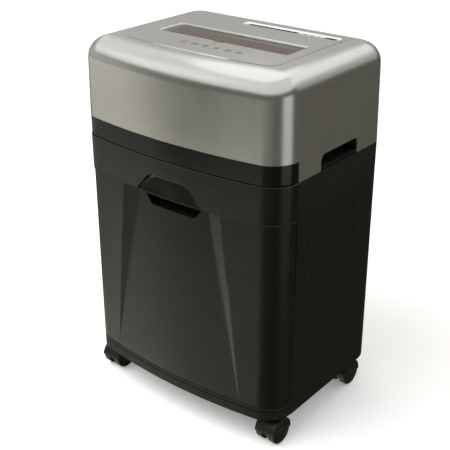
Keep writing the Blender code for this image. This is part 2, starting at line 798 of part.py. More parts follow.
def make_gears():
    front, rear = (FRONT_AXIS_Y, AXIS_Z), (REAR_AXIS_Y, AXIS_Z)
    idler, motor = (IDLER_Y, AXIS_Z), (MOTOR_Y, AXIS_Z)
    shaft_hole = SHAFT_RADIUS + FIT
    half_tooth = math.pi / SYNC_TEETH
    sync = (("sync_gear_front", front, 0.0), ("sync_gear_rear", rear, math.pi + half_tooth))
    for name, centre, phase in sync:
        outline = gear_outline(centre, SYNC_TEETH, SYNC_MODULE, phase)
        gear = plate(outline, *SYNC_FACE, "YZ", [circle(centre, shaft_hole, 12)])
        adopt(set_origin(gear, (SYNC_FACE[1], *centre)), name, "zinc_steel")
    outline = gear_outline(rear, DRIVE_TEETH, DRIVE_MODULE, 0.0)
    drive = plate(outline, *DRIVE_FACE, "YZ", [circle(rear, shaft_hole, 12)])
    adopt(set_origin(drive, (DRIVE_FACE[1], *rear)), "drive_gear", "gear_nylon")
    meet = math.pi + math.pi / IDLER_SMALL_TEETH
    pair = plate(gear_outline(idler, IDLER_SMALL_TEETH, DRIVE_MODULE, meet), *IDLER_FACE, "YZ")
    join(pair, plate(gear_outline(idler, IDLER_LARGE_TEETH, MOTOR_MODULE, 0.0), *PINION_FACE, "YZ"))
    cut(pair, rod((IDLER_FACE[0], *idler), IDLER_PIN_RADIUS + RUNNING_FIT, 0.06, "X", 12))
    adopt(set_origin(pair, (PINION_FACE[1], *idler)), "intermediate_gear", "gear_nylon")
    pin_low, pin_high = IDLER_FACE[0] - 0.0015, -PLATE_X + PLATE_THICK / 2 - 0.0002
    pin = rod(((pin_low + pin_high) / 2, *idler), IDLER_PIN_RADIUS, pin_high - pin_low, "X", 12)
    adopt(pin, "intermediate_gear_pin", "zinc_steel")
    meet = math.pi + math.pi / PINION_TEETH
    pinion = plate(gear_outline(motor, PINION_TEETH, MOTOR_MODULE, meet), *PINION_FACE, "YZ")
    shaft_low, shaft_high = PINION_FACE[0] + 0.0005, MOTOR_FACE[1] - 0.004
    shaft = rod(((shaft_low + shaft_high) / 2, *motor), MOTOR_SHAFT, shaft_high - shaft_low, "X", 12)
    adopt(set_origin(join(pinion, shaft), (PINION_FACE[1], *motor)), "motor_rotor", "zinc_steel")


def make_motor():
    """Motor can with a raised end bell at each end and a bore for the rotor shaft."""
    bore = MOTOR_SHAFT + GAP
    near, far = MOTOR_FACE
    edge = MOTOR_CHAMFER
    profile = [
        (bore, far), (MOTOR_BELL, far), (MOTOR_BELL, far - edge), (MOTOR_RADIUS - edge, far - edge),
        (MOTOR_RADIUS, far - 2 * edge), (MOTOR_RADIUS, near + edge), (MOTOR_RADIUS - edge, near),
        (bore, near),
    ]
    can = turned(profile, (0, MOTOR_Y, AXIS_Z), "X", 20)
    return adopt(smooth(can), "motor_body", "motor_steel")


def make_side_plates():
    bush_hole = BUSH_RADIUS + FIT
    holes = [circle((y, TIE_ROD_Z), TIE_ROD_RADIUS + GAP, 10) for y in TIE_ROD_PLACES.values()]
    holes += [circle((y, AXIS_Z), bush_hole, 16) for y in (FRONT_AXIS_Y, REAR_AXIS_Y)]
    low, high = PLATE_X - PLATE_THICK / 2, PLATE_X + PLATE_THICK / 2
    right = rectangle(PLATE_FRONT, PLATE_BOTTOM, PLATE_REAR, PLATE_TOP, 0.006)
    adopt(plate(right, low, high, "YZ", holes), "cutter_side_plate", "zinc_steel")
    left = rectangle(PLATE_FRONT, PLATE_BOTTOM, GEAR_PLATE_REAR, PLATE_TOP, 0.006)
    holes += [
        circle((IDLER_Y, AXIS_Z), IDLER_PIN_RADIUS + FIT, 12),
        circle((MOTOR_Y, AXIS_Z), MOTOR_SHAFT + 0.002, 12),
    ]
    adopt(plate(left, -high, -low, "YZ", holes), "gear_side_plate", "zinc_steel")


def make_tie_rods():
    for name, y in TIE_ROD_PLACES.items():
        tie = rod((0, y, TIE_ROD_Z), TIE_ROD_RADIUS, 2 * (PLATE_X + 0.004), "X", 10)
        adopt(tie, name, "zinc_steel")


def make_bushes():
    bore = SHAFT_RADIUS + RUNNING_FIT
    half = BUSH_HALF
    profile = [(bore, half), (BUSH_RADIUS, half), (BUSH_RADIUS, -half), (bore, -half)]
    for side, x in (("left", -PLATE_X), ("right", PLATE_X)):
        for end, y in (("front", FRONT_AXIS_Y), ("rear", REAR_AXIS_Y)):
            bush = turned(profile, (x, y, AXIS_Z), "X", 16)
            adopt(smooth(bush), f"bush_{end}_{side}", "bronze")


def make_comb(name, axis_y, outward, shift):
    """Stripper comb: a bar beside the discs with a finger in each gap between them."""
    bar_near = axis_y + outward * (DISC_RADIUS + 0.0015)
    bar_far = bar_near + outward * COMB_BAR
    tip = axis_y + outward * (SPACER_RADIUS + 0.0010)
    xs = disc_xs(shift)
    outline = [(-COMB_HALF, bar_far), (COMB_HALF, bar_far), (COMB_HALF, bar_near)]
    for first, second in reversed(list(zip(xs, xs[1:]))):
        left = first + DISC_THICK / 2 + COMB_CLEAR
        right = second - DISC_THICK / 2 - COMB_CLEAR
        outline += [(right, bar_near), (right, tip), (left, tip), (left, bar_near)]
    outline.append((-COMB_HALF, bar_near))
    return adopt(plate(outline, AXIS_Z - COMB_BAR / 2, AXIS_Z + COMB_BAR / 2), name, "black_nylon")


def make_board():
    """Control board with a transformer, a relay and a capacitor."""
    low = TRAY_TOP + 0.0040
    board = box((0.0780, 0.0680, low), (0.1500, 0.1240, low + 0.0016))
    corners = [(x, y) for x in (0.0800, 0.1430) for y in (0.0700, 0.1170)]
    posts = [box((x, y, TRAY_TOP + GAP), (x + 0.005, y + 0.005, low + 0.0005)) for x, y in corners]
    transformer = box((0.0850, 0.0780, low + 0.001), (0.1090, 0.1010, low + 0.0230))
    relay = box((0.1180, 0.0780, low + 0.001), (0.1370, 0.0930, low + 0.0160))
    capacitor = rod((0.1220, 0.1100, low + 0.0120), 0.0060, 0.0220, sides=12)
    join(board, *posts, transformer, relay, capacitor)
    return adopt(board, "control_board", "circuit_board")


def make_bin_switch():
    """Safety switch under the tray, and the post on the drawer that works it."""
    top = TRAY_BOTTOM - GAP
    adopt(box((0.1150, -0.1180, top - 0.0180), (0.1430, -0.1050, top)), "bin_switch", "black_nylon")
    y = front_y(0.129, WALL) + 0.0030
    striker = box((0.1240, y, 0.3850), (0.1340, -0.1184, top - 0.0080))
    adopt(striker, "switch_striker", "satin_black")


# ---------------------------------------------------------------- cabinet and drawer

def side_rows(depth):
    """Height and inset pairs up the outside, then down the inside, of a side wall with a relief."""
    outside = [
        (CABINET_BOTTOM, 0.0), (RELIEF_BOTTOM, 0.0), (RELIEF_TOP - RELIEF_LEDGE, depth), (RELIEF_TOP, 0.0),
        (APRON_BOTTOM - GAP, 0.0),
    ]
    inside = [
        (APRON_BOTTOM - GAP, WALL), (RELIEF_TOP + RELIEF_LEDGE, WALL), (RELIEF_TOP, depth + WALL),
        (RELIEF_BOTTOM, WALL), (CABINET_BOTTOM, WALL),
    ]
    return outside + inside


def between(z, low_z, low_value, high_z, high_value):
    """Straight-line value at a height, held at its ends."""
    share = min(max((z - low_z) / (high_z - low_z), 0.0), 1.0)
    return low_value + share * (high_value - low_value)


def make_side_panel(name, side):
    """Side wall from the front seam round the rear corner, with a tapering relief."""
    def edge(bottom, top):
        return lambda z: between(z, RELIEF_BOTTOM, bottom, RELIEF_TOP, top)

    columns = [
        (lambda z: SEAM_Y + GAP, 0.0),
        (edge(RELIEF_FRONT_BOTTOM, RELIEF_FRONT_TOP), 0.0),
        (edge(RELIEF_FRONT_BOTTOM, RELIEF_FRONT_TOP + RELIEF_SLOPE), RELIEF_DEPTH),
        (edge(RELIEF_REAR_BOTTOM, RELIEF_REAR_TOP - RELIEF_SLOPE), RELIEF_DEPTH),
        (edge(RELIEF_REAR_BOTTOM, RELIEF_REAR_TOP), 0.0),
    ]
    sections = []
    for shift, (place, depth) in enumerate(columns):
        nudge = 0.0001 * shift
        sections.append([(side * (WIDTH / 2 - inset), place(z) + nudge, z) for z, inset in side_rows(depth)])
    corners = [rear_corner(inset, 5) for _, inset in side_rows(0.0)]
    for step in range(6):
        section = []
        for (z, _), corner in zip(side_rows(0.0), corners):
            section.append((side * corner[step][0], corner[step][1], z))
        sections.append(section)
    return adopt(smooth(loft(sections), 20), name, "grained_black")


def make_rear_panel():
    half = WIDTH / 2 - REAR_CORNER - GAP
    panel = box((-half, DEPTH / 2 - WALL, CABINET_BOTTOM), (half, DEPTH / 2, APRON_BOTTOM - GAP))
    return adopt(panel, "rear_panel", "grained_black")


def caster_places():
    for end, y in (("front", CASTER_FRONT_Y), ("rear", CASTER_REAR_Y)):
        for hand, side in (("left", -1), ("right", 1)):
            yield f"{end}_{hand}", side * CASTER_X, y


def make_base():
    """Floor of the cabinet with the caster sockets, and the band across the front under the drawer."""
    outline = plan_ring(WALL + GAP)
    base = plate(outline, CABINET_BOTTOM + 0.001, CABINET_BOTTOM + 0.005)
    join(base, front_band(CABINET_BOTTOM, BASE_BAND_TOP, 0.0, BAND_WALL))
    for _, x, y in caster_places():
        join(base, rod((x, y, CABINET_BOTTOM + 0.0115), 0.0080, 0.0170, sides=16))
    for _, x, y in caster_places():
        cut(base, rod((x, y, CABINET_BOTTOM + 0.005), STEM_RADIUS + RUNNING_FIT, 0.0400, sides=16))
    return adopt(base, "base_tray", "grained_black")


def make_runners():
    for name, side in (("drawer_runner_left", -1), ("drawer_runner_right", 1)):
        xs = sorted((side * RUNNER_X, side * (RUNNER_X + RUNNER_WIDTH)))
        strip = box((xs[0], -0.1180, CABINET_BOTTOM + 0.005 + GAP), (xs[1], 0.1300, BIN_BOTTOM - GAP))
        adopt(strip, name, "gear_nylon")


def drawer_rows(depth, backing):
    """Height and inset pairs up the outside, then down the inside, of the drawer front."""
    mid = (RECESS_BOTTOM + CREASE) / 2
    deep = CREASE_STEP + depth
    under = CREASE - CREASE_RISE
    deep_mid = deep * (mid - RECESS_BOTTOM) / (under - RECESS_BOTTOM)
    outside = [
        (DRAWER_BOTTOM, 0.0), (RECESS_BOTTOM, 0.0), (mid, deep_mid), (under, deep), (CREASE, 0.0),
        (DRAWER_TOP, 0.0),
    ]
    inside = [
        (DRAWER_TOP, WALL + backing), (CREASE + WALL, WALL + backing),
        (under + WALL, max(deep, backing) + WALL), (mid, deep_mid + WALL), (RECESS_BOTTOM, WALL),
        (DRAWER_BOTTOM, WALL),
    ]
    return outside + inside


def drawer_columns():
    """Columns of the drawer front, centre to corner: x at a height, relief depth, backing."""
    def edge(bottom, top):
        return lambda z: between(z, RECESS_BOTTOM, bottom, CREASE, top)

    end_x, _, _ = front_end(0.0)
    return [
        (lambda z: 0.0, RECESS_DEPTH, DISH_BACKING),
        (lambda z: 0.034, RECESS_DEPTH, DISH_BACKING),
        (edge(RECESS_HALF_BOTTOM - 0.001, RECESS_FLOOR_TOP), RECESS_DEPTH, DISH_BACKING),
        (edge(RECESS_HALF_BOTTOM, RECESS_HALF_TOP), 0.0, 0.0),
        (edge(0.1280, 0.1200), 0.0, 0.0),
        (lambda z: end_x, 0.0, 0.0),
    ]


def make_drawer_front():
    half = []
    for place, depth, backing in drawer_columns():
        rows = drawer_rows(depth, backing)
        half.append([(place(z), front_y(place(z), inset), z) for z, inset in rows])
    rows = drawer_rows(0.0, 0.0)
    corners = [front_corner(inset, 5) for _, inset in rows]
    for step in range(1, 6):
        half.append([(*corner[step], z) for (z, _), corner in zip(rows, corners)])
    half.append([(WIDTH / 2 - inset, SEAM_Y - GAP, z) for z, inset in rows])
    other = [[(-x, y, z) for x, y, z in section] for section in half[:0:-1]]
    front = loft(other + half)
    cut(front, finger_hole(), thumb_dish())
    return adopt(smooth(front, 20), "drawer_front", "satin_black")


def finger_hole():
    """Opening under the crease, straight on top with rounded lower corners."""
    top = CREASE - CREASE_RISE + 0.0001
    right = [(HOLE_HALF_BOTTOM, HOLE_BOTTOM), (HOLE_HALF_TOP, top)]
    left = [(-x, z) for x, z in reversed(right)]
    outline = rounded(left + right, [0.0008, 0.009, 0.009, 0.0008])
    return plate(outline, -0.16, -0.10, "XZ")


def thumb_dish():
    """Arched hollow above the crease, deepest at its top and running out at the crease."""
    low = CREASE + 0.0016

    def arch(shrink, floor):
        base, crown = DISH_HALF_BOTTOM - shrink, DISH_HALF_TOP - shrink
        top = DISH_TOP - shrink
        corners = [(-base, low), (base, low), (crown, top), (-crown, top)]
        outline = rounded(corners, [0.0, 0.0, 0.014, 0.014])
        points = []
        for x, z in outline:
            depth = between(z, low, 0.0008, top, DISH_DEPTH) if floor else -0.004
            points.append((x, front_y(x, depth), z))
        return points

    return loft([arch(0.0, False), arch(0.0045, True)])


def make_handle_pocket():
    """Black pocket behind the finger hole that closes the drawer front to the shreds."""
    y_front = front_y(POCKET_HALF, CREASE_STEP + RECESS_DEPTH + WALL) + GAP
    bottom, top = HOLE_BOTTOM - 0.0055, CREASE + 0.0280
    half = POCKET_HALF - THIN_WALL
    pocket = box((-POCKET_HALF, y_front, bottom), (POCKET_HALF, POCKET_BACK, top))
    room = box((-half, -0.15, bottom + THIN_WALL), (half, POCKET_BACK - THIN_WALL, top - THIN_WALL))
    cut(pocket, room)
    return adopt(pocket, "handle_pocket", "black_nylon")


def make_bin():
    """Open-topped bin whose front wall stops below the handle pocket."""
    outer = rectangle(-BIN_HALF, BIN_FRONT, BIN_HALF, BIN_BACK, BIN_CORNER, 4)
    half, front, back = BIN_HALF - THIN_WALL, BIN_FRONT + THIN_WALL, BIN_BACK - THIN_WALL
    inner = rectangle(-half, front, half, back, BIN_CORNER - THIN_WALL, 4)
    shell = plate(outer, BIN_BOTTOM, BIN_TOP)
    room = plate(inner, BIN_BOTTOM + THIN_WALL, BIN_TOP + 0.1)
    lowered = box((-half, BIN_FRONT - 0.01, BIN_FRONT_TOP), (half, front + 0.001, BIN_TOP + 0.1))
    cut(shell, room, lowered)
    return adopt(shell, "bin_body", "black_nylon")


# ---------------------------------------------------------------- casters

def arc_points(centre, radius, start, stop, steps):
    turns = [math.radians(start + (stop - start) * step / steps) for step in range(steps + 1)]
    return [(centre[0] + radius * math.cos(a), centre[1] + radius * math.sin(a)) for a in turns]


def make_hood(name, x, y):
    """Swivelling hood: a middle web with the axle hole, a fender over both wheels and the stem."""
    axle = (y - CASTER_TRAIL, AXLE_Z)
    inner = WHEEL_RADIUS + GAP
    fender = arc_points(axle, HOOD_RADIUS, -8, 178, 12) + arc_points(axle, inner, 178, -8, 12)
    hood = plate(fender, x - HOOD_HALF, x + HOOD_HALF, "YZ")
    web_half = WHEEL_GAP - 0.0005
    web = arc_points(axle, inner + 0.0008, -5, 175, 10) + arc_points(axle, 0.0090, 200, 330, 5)
    join(hood, plate(web, x - web_half, x + web_half, "YZ"))
    neck = rectangle(y - 0.0060, 0.0300, y + 0.0075, SEAT_TOP - 0.0010)
    join(hood, plate(neck, x - web_half + 0.0002, x + web_half - 0.0002, "YZ"))
    join(hood, rod((x, y, (SEAT_BOTTOM + SEAT_TOP) / 2), SEAT_RADIUS, SEAT_TOP - SEAT_BOTTOM, sides=16))
    join(hood, rod((x, y, CABINET_BOTTOM + 0.0070), STEM_RADIUS, 0.0180, sides=16))
    cut(hood, rod((x, *axle), AXLE_RADIUS + RUNNING_FIT, 0.05, "X", 12))
    return adopt(set_origin(hood, (x, y, CABINET_BOTTOM)), name, "wheel_nylon")


def make_wheel(name, x, y, side):
    """Dished wheel with a rounded tread and a raised hub."""
    half = WHEEL_WIDTH / 2
    bore = AXLE_RADIUS + RUNNING_FIT
    profile = [
        (bore, half - HUB_DROP), (HUB_RADIUS, half - HUB_DROP), (DISH_RADIUS, half - DISH_DROP),
        (RIM_RADIUS, half),
        (WHEEL_RADIUS, half - 0.0015), (WHEEL_RADIUS, -half + 0.0005), (WHEEL_RADIUS - 0.0010, -half),
        (bore, -half),
    ]
    if side < 0:
        profile = [(radius, -along) for radius, along in reversed(profile)]
    wheel = turned(profile, (x, y, AXLE_Z), "X", WHEEL_SIDES)
    wheel.rotation_euler = (0, math.pi / 2, 0)
    return wheel


def make_casters():
    for place, x, y in caster_places():
        make_hood(f"caster_hood_{place}", x, y)
        axle_y = y - CASTER_TRAIL
        axle = rod((x, axle_y, AXLE_Z), AXLE_RADIUS, 2 * (HOOD_HALF - AXLE_INSET), "X", 12)
        adopt(axle, f"caster_axle_{place}", "zinc_steel")
        for hand, side in (("left", -1), ("right", 1)):
            centre = x + side * (WHEEL_GAP + WHEEL_WIDTH / 2)
            name = f"caster_wheel_{place}_{hand}"
            wheel = make_wheel(name, centre, axle_y, side)
            set_turn(wheel)
            adopt(smooth(wheel), name, "wheel_nylon")


def set_turn(wheel):
    """Turns a wheel half a side about its own axle, so that a flat of its tread is at the bottom."""
    wheel.data.transform(Matrix.Rotation(math.pi / WHEEL_SIDES, 4, "Z"))


def build():
    make_cover()
    make_collar()
    make_flap()
    make_throat()
    make_card_strip()
    make_card_ramp()
    make_switch()
    make_lamp()
    make_gland()
    make_tray()
    make_cutter("cutter_shaft_front", FRONT_AXIS_Y, -DISC_PITCH / 4, -0.1315)
    make_cutter("cutter_shaft_rear", REAR_AXIS_Y, DISC_PITCH / 4, -0.1440)
    make_gears()
    make_motor()
    make_side_plates()
    make_tie_rods()
    make_bushes()
    make_comb("stripper_comb_front", FRONT_AXIS_Y, -1, -DISC_PITCH / 4)
    make_comb("stripper_comb_rear", REAR_AXIS_Y, 1, DISC_PITCH / 4)
    make_board()
    make_bin_switch()
    make_side_panel("side_panel_left", -1)
    make_side_panel("side_panel_right", 1)
    make_rear_panel()
    make_base()
    make_runners()
    make_drawer_front()
    make_handle_pocket()
    make_bin()
    make_casters()


build()
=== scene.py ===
"""Paper shredder on casters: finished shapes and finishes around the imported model.

Lengths are in metres, +Z is up and the drawer opens towards -Y.
"""

import json
import math

import bmesh
import bpy
from mathutils import Matrix, Vector


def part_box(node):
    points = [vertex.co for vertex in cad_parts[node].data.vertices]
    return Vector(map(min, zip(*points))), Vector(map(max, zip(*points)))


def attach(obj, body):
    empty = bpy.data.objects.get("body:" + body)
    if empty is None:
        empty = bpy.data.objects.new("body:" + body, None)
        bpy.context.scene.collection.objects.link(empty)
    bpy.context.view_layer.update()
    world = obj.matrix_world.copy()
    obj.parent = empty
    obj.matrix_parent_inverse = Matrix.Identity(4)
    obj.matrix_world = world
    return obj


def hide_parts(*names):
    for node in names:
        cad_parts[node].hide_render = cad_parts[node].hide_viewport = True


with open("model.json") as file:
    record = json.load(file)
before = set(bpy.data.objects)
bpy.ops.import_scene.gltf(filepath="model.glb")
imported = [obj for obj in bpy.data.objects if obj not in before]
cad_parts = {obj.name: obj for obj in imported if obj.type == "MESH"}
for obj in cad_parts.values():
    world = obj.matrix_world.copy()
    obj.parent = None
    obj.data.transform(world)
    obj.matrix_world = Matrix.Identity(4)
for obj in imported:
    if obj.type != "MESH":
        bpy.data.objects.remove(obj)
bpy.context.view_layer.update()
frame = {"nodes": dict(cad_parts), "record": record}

# --- sizes read from the frame

cover_low, cover_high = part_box("top_cover")
HALF_WIDTH, HALF_DEPTH, COVER_TOP = cover_high
APRON_BOTTOM = cover_low.z
COLLAR_BOTTOM, COLLAR_TOP = (corner.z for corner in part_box("front_collar"))
DRAWER_BOTTOM, DRAWER_TOP = (corner.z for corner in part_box("drawer_front"))
SIDE_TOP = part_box("side_panel_right")[1].z

# --- sizes, most of them shared with the part's source

GAP = 0.0004
WALL = 0.003
SEAM_Y = -0.0868
FRONT_BOW, FRONT_CORNER, REAR_CORNER, SMALLEST_CORNER = 0.011, 0.043, 0.042, 0.003
COVER_WALL, COVER_DRAFT, TOP_EDGE_RADIUS, FRONT_SHOULDER = 0.0028, 0.0024, 0.031, 0.046
COVER_FRONT_EDGE = COLLAR_TOP + GAP
COLLAR_INSET, COLLAR_END_GAP, THIN_WALL = 0.0010, 0.0011, 0.002
GRIP_FRONT, GRIP_REAR, GRIP_TOP = -0.0353, 0.0565, 0.4435
FLAP_HALF, FLAP_FRONT, FLAP_REAR, FLAP_HINGE_Y = 0.1140, -0.0220, 0.0268, 0.0246
SLOT_HALF, SLOT_Y, SLOT_WIDTH = 0.1115, -0.0035, 0.0075
FLAP_DROP, FLAP_THICK, HINGE_PIN = 0.0035, 0.002, 0.0015
TAB_HALF, TAB_REACH, TAB_ROOM = 0.0080, 0.0045, 0.0012
WINDOW_RADIUS, TRAY_ROOM, HINGE_ROOM = 0.003, 0.0011, 0.0019
STRIP_LEFT, STRIP_RIGHT, STRIP_FRONT, STRIP_REAR = -0.0430, 0.1275, 0.0810, 0.0980
STRIP_DROP, STRIP_THICK, CHUTE_WALL = 0.0012, 0.0030, 0.0018
CARD_LEFT, CARD_RIGHT, CARD_Y, CARD_GAP = -0.0325, 0.0565, 0.0880, 0.0052
SWITCH_X, SWITCH_Y, SWITCH_TRAVEL, SWITCH_KNOB = 0.1125, 0.0875, 0.005, 0.009
LAMP_X, LAMP_Y, LAMP_RADIUS = 0.001, -0.037, 0.0018
GLAND_X, GLAND_Z, GLAND_HOLE = 0.120, 0.500, 0.0064
CREASE, CREASE_STEP, CREASE_RISE = 0.3645, 0.0012, 0.0015
RECESS_BOTTOM, RECESS_DEPTH = 0.0760, 0.0105
RECESS_HALF_TOP, RECESS_HALF_BOTTOM, RECESS_FLOOR_TOP = 0.0910, 0.1235, 0.0665
HOLE_HALF_TOP, HOLE_HALF_BOTTOM, HOLE_BOTTOM = 0.0575, 0.0410, 0.3425
DISH_HALF_BOTTOM, DISH_HALF_TOP, DISH_TOP, DISH_DEPTH, DISH_BACKING = 0.0600, 0.0350, 0.3955, 0.0055, 0.009
RELIEF_DEPTH, RELIEF_TOP, RELIEF_BOTTOM = 0.0025, 0.3485, 0.0750
RELIEF_FRONT_TOP, RELIEF_FRONT_BOTTOM = -0.0487, -0.0770
RELIEF_REAR_TOP, RELIEF_REAR_BOTTOM = 0.0700, 0.0970
RELIEF_SLOPE, RELIEF_LEDGE, RIDGE_WIDTH, RIDGE_HEIGHT = 0.005, 0.0015, 0.0018, 0.0015
CABINET_BOTTOM, BASE_BAND_TOP, BAND_WALL = 0.048, 0.0690, 0.0045
CASTER_X, CASTER_FRONT_Y, CASTER_REAR_Y, CASTER_TRAIL = 0.161, -0.086, 0.1085, 0.013
WHEEL_RADIUS, WHEEL_WIDTH, WHEEL_GAP, AXLE_Z = 0.0205, 0.0115, 0.0055, 0.020189
HOOD_RADIUS, HOOD_HALF = 0.0222, 0.0170
SEAT_RADIUS, SEAT_BOTTOM, SEAT_TOP = 0.0085, 0.0411, CABINET_BOTTOM - 0.0006
STEM_RADIUS, AXLE_RADIUS, RUNNING_FIT = 0.004, 0.0025, 0.0003

BOW_STEPS, CORNER_STEPS, ARC_STEPS = 56, 22, 22
QUARTER_TURN = [math.radians(a) for a in range(0, 91, 15)]
MICRON = 1e-6
FAR = 0.3  # further out than any side of the object

# --- shape helpers


def loft(name, sections, closed_along=False):
    """Skin through closed sections with the same number of points, capped unless it closes on itself."""
    shape = bmesh.new()
    rows = [[shape.verts.new(point) for point in section] for section in sections]
    pairs = list(zip(rows, rows[1:]))
    if closed_along:
        pairs.append((rows[-1], rows[0]))
    for lower, upper in pairs:
        for index in range(len(lower)):
            after = (index + 1) % len(lower)
            shape.faces.new((lower[index], lower[after], upper[after], upper[index]))
    if not closed_along:
        shape.faces.new(rows[0])
        shape.faces.new(rows[-1])
    bmesh.ops.recalc_face_normals(shape, faces=shape.faces)
    mesh = bpy.data.meshes.new(name)
    shape.to_mesh(mesh)
    shape.free()
    item = bpy.data.objects.new(name, mesh)
    bpy.context.scene.collection.objects.link(item)
    return item


PLANES = {
    "XY": lambda a, b, height: (a, b, height),
    "XZ": lambda a, b, height: (a, height, b),
    "YZ": lambda a, b, height: (height, a, b),
}


def prism(name, outline, low, high, plane="XY"):
    """Outline pushed between two heights over its plane."""
    place = PLANES[plane]
    return loft(name, [[place(a, b, height) for a, b in outline] for height in (low, high)])


def solid(outline, low, high, plane="XY"):
    """Prism that a boolean uses up, or that is named later."""
    return prism("solid", outline, low, high, plane)


def arc_points(centre, radius, start, stop, steps):
    turns = [math.radians(start + (stop - start) * step / steps) for step in range(steps + 1)]
    return [(centre[0] + radius * math.cos(a), centre[1] + radius * math.sin(a)) for a in turns]


def circle(centre, radius, sides=32):
    return arc_points(centre, radius, 0, 360, sides)[:-1]


def rounded(corners, radii, steps=8):
    """Outline with each corner replaced by an arc of its own radius."""
    outline = []
    count = len(corners)
    for index, corner in enumerate(corners):
        here = Vector(corner)
        before = (Vector(corners[index - 1]) - here).normalized()
        after = (Vector(corners[(index + 1) % count]) - here).normalized()
        radius = radii[index]
        if radius == 0:
            outline.append(tuple(here))
            continue
        half = before.angle(after) / 2
        centre = here + (before + after).normalized() * (radius / math.sin(half))
        start = here + before * (radius / math.tan(half)) - centre
        stop = here + after * (radius / math.tan(half)) - centre
        sweep = start.angle_signed(stop)
        for step in range(steps + 1):
            outline.append(tuple(centre + Matrix.Rotation(-sweep * step / steps, 2) @ start))
    return outline


def rectangle(left, bottom, right, top, radius=0.0, steps=6):
    corners = [(left, bottom), (right, bottom), (right, top), (left, top)]
    return rounded(corners, [radius] * 4, steps)


def centred(x, y, half_x, half_y, radius=0.0, steps=6):
    """Rectangle about its centre."""
    return rectangle(x - half_x, y - half_y, x + half_x, y + half_y, radius, steps)


def box(name, low, high):
    return prism(name, rectangle(low[0], low[1], high[0], high[1]), low[2], high[2])


def lathe(name, profile, centre, plane="XY", steps=48):
    """Closed profile of (radius, height) points turned in a plane about the point."""
    place = PLANES[plane]
    sections = []
    for step in range(steps):
        a = 2 * math.pi * step / steps
        ring = [Vector(place(r * math.cos(a), r * math.sin(a), h)) + Vector(centre) for r, h in profile]
        sections.append(ring)
    return loft(name, sections, closed_along=True)


def applied(item):
    """Gives the object the mesh that its modifiers make."""
    bpy.context.view_layer.update()
    evaluated = item.evaluated_get(bpy.context.evaluated_depsgraph_get())
    mesh = bpy.data.meshes.new_from_object(evaluated)
    item.modifiers.clear()
    item.data = mesh
    return item


def combine(item, other, operation):
    """Boolean of two objects; the second object is used up."""
    step = item.modifiers.new("boolean", "BOOLEAN")
    step.operation = operation
    step.solver = "EXACT"
    step.object = other
    applied(item)
    bpy.data.objects.remove(other)
    return item


def cut(item, *cutters):
    for cutter in cutters:
        combine(item, cutter, "DIFFERENCE")
    return item


def join(item, *others):
    for other in others:
        combine(item, other, "UNION")
    return item


def soften(item, width=0.0004, angle=28, segments=2):
    """Rounds the sharp edges, shades smooth and keeps the flat faces flat."""
    shape = bmesh.new()
    shape.from_mesh(item.data)
    bmesh.ops.remove_doubles(shape, verts=shape.verts, dist=2e-6)
    bmesh.ops.dissolve_degenerate(shape, edges=shape.edges, dist=2e-6)
    shape.to_mesh(item.data)
    shape.free()
    item.data.shade_smooth()
    if width:
        bevel = item.modifiers.new("bevel", "BEVEL")
        bevel.width = width
        bevel.segments = segments
        bevel.angle_limit = math.radians(angle)
        bevel.miter_outer = "MITER_ARC"
    normals = item.modifiers.new("normals", "WEIGHTED_NORMAL")
    normals.weight = 60
    return applied(item)


# --- plan of the cabinet

FRONT_SLOPE = math.atan(2 * FRONT_BOW / (HALF_WIDTH - FRONT_CORNER))


def front_y(x, inset):
    """The bowed front is a shallow parabola."""
    return -HALF_DEPTH + inset + FRONT_BOW * (x / (HALF_WIDTH - FRONT_CORNER)) ** 2


def front_end(inset):
    """Where the bow meets the corner arc: x, and the centre and radius of the arc."""
    radius = max(FRONT_CORNER - inset, SMALLEST_CORNER)
    centre_x = HALF_WIDTH - inset - radius
    end_x = centre_x + radius * math.sin(FRONT_SLOPE)
    return end_x, Vector((centre_x, front_y(end_x, inset) + radius * math.cos(FRONT_SLOPE))), radius


def front_corner(inset):
    """Right-hand corner arc from the end of the bow to the side."""
    _, centre, radius = front_end(inset)
    start, steps = FRONT_SLOPE - math.pi / 2, CORNER_STEPS
    turns = [start * (1 - step / steps) for step in range(steps + 1)]
    return [(centre.x + radius * math.cos(a), centre.y + radius * math.sin(a)) for a in turns]


def rear_corner(inset):
    """Right-hand rear corner arc from the side to the back."""
    radius = max(REAR_CORNER - inset, SMALLEST_CORNER)
    centre = (HALF_WIDTH - inset - radius, HALF_DEPTH - inset - radius)
    return arc_points(centre, radius, 0, 90, CORNER_STEPS)


def mirrored(points):
    return [(-x, y) for x, y in reversed(points)]


def front_run(inset):
    """Plan line across the front, from the left seam to the right seam."""
    end_x, _, _ = front_end(inset)
    corner = front_corner(inset)
    bow_xs = [end_x * (2 * step / BOW_STEPS - 1) for step in range(1, BOW_STEPS)]
    bow = [(x, front_y(x, inset)) for x in bow_xs]
    seam = [(HALF_WIDTH - inset, SEAM_Y)]
    return mirrored(seam) + mirrored(corner) + bow + corner + seam


def plan_ring(inset):
    rear = rear_corner(inset)
    return front_run(inset) + rear + mirrored(rear)


def front_band(name, profile, end_gap=GAP):
    """Strip across the front from seam to seam, with a closed section of (inset, height) points."""
    runs = [front_run(inset) for inset, _ in profile]
    sections = []
    for index in range(len(runs[0])):
        section = []
        for run, (_, z) in zip(runs, profile):
            x, y = run[index]
            section.append((x, min(y, SEAM_Y - end_gap), z))
        sections.append(section)
    return loft(name, sections)


def between(value, low, low_result, high, high_result):
    """Straight-line result at a value, held at its ends."""
    share = min(max((value - low) / (high - low), 0.0), 1.0)
    return low_result + share * (high_result - low_result)


# --- node-tree helpers


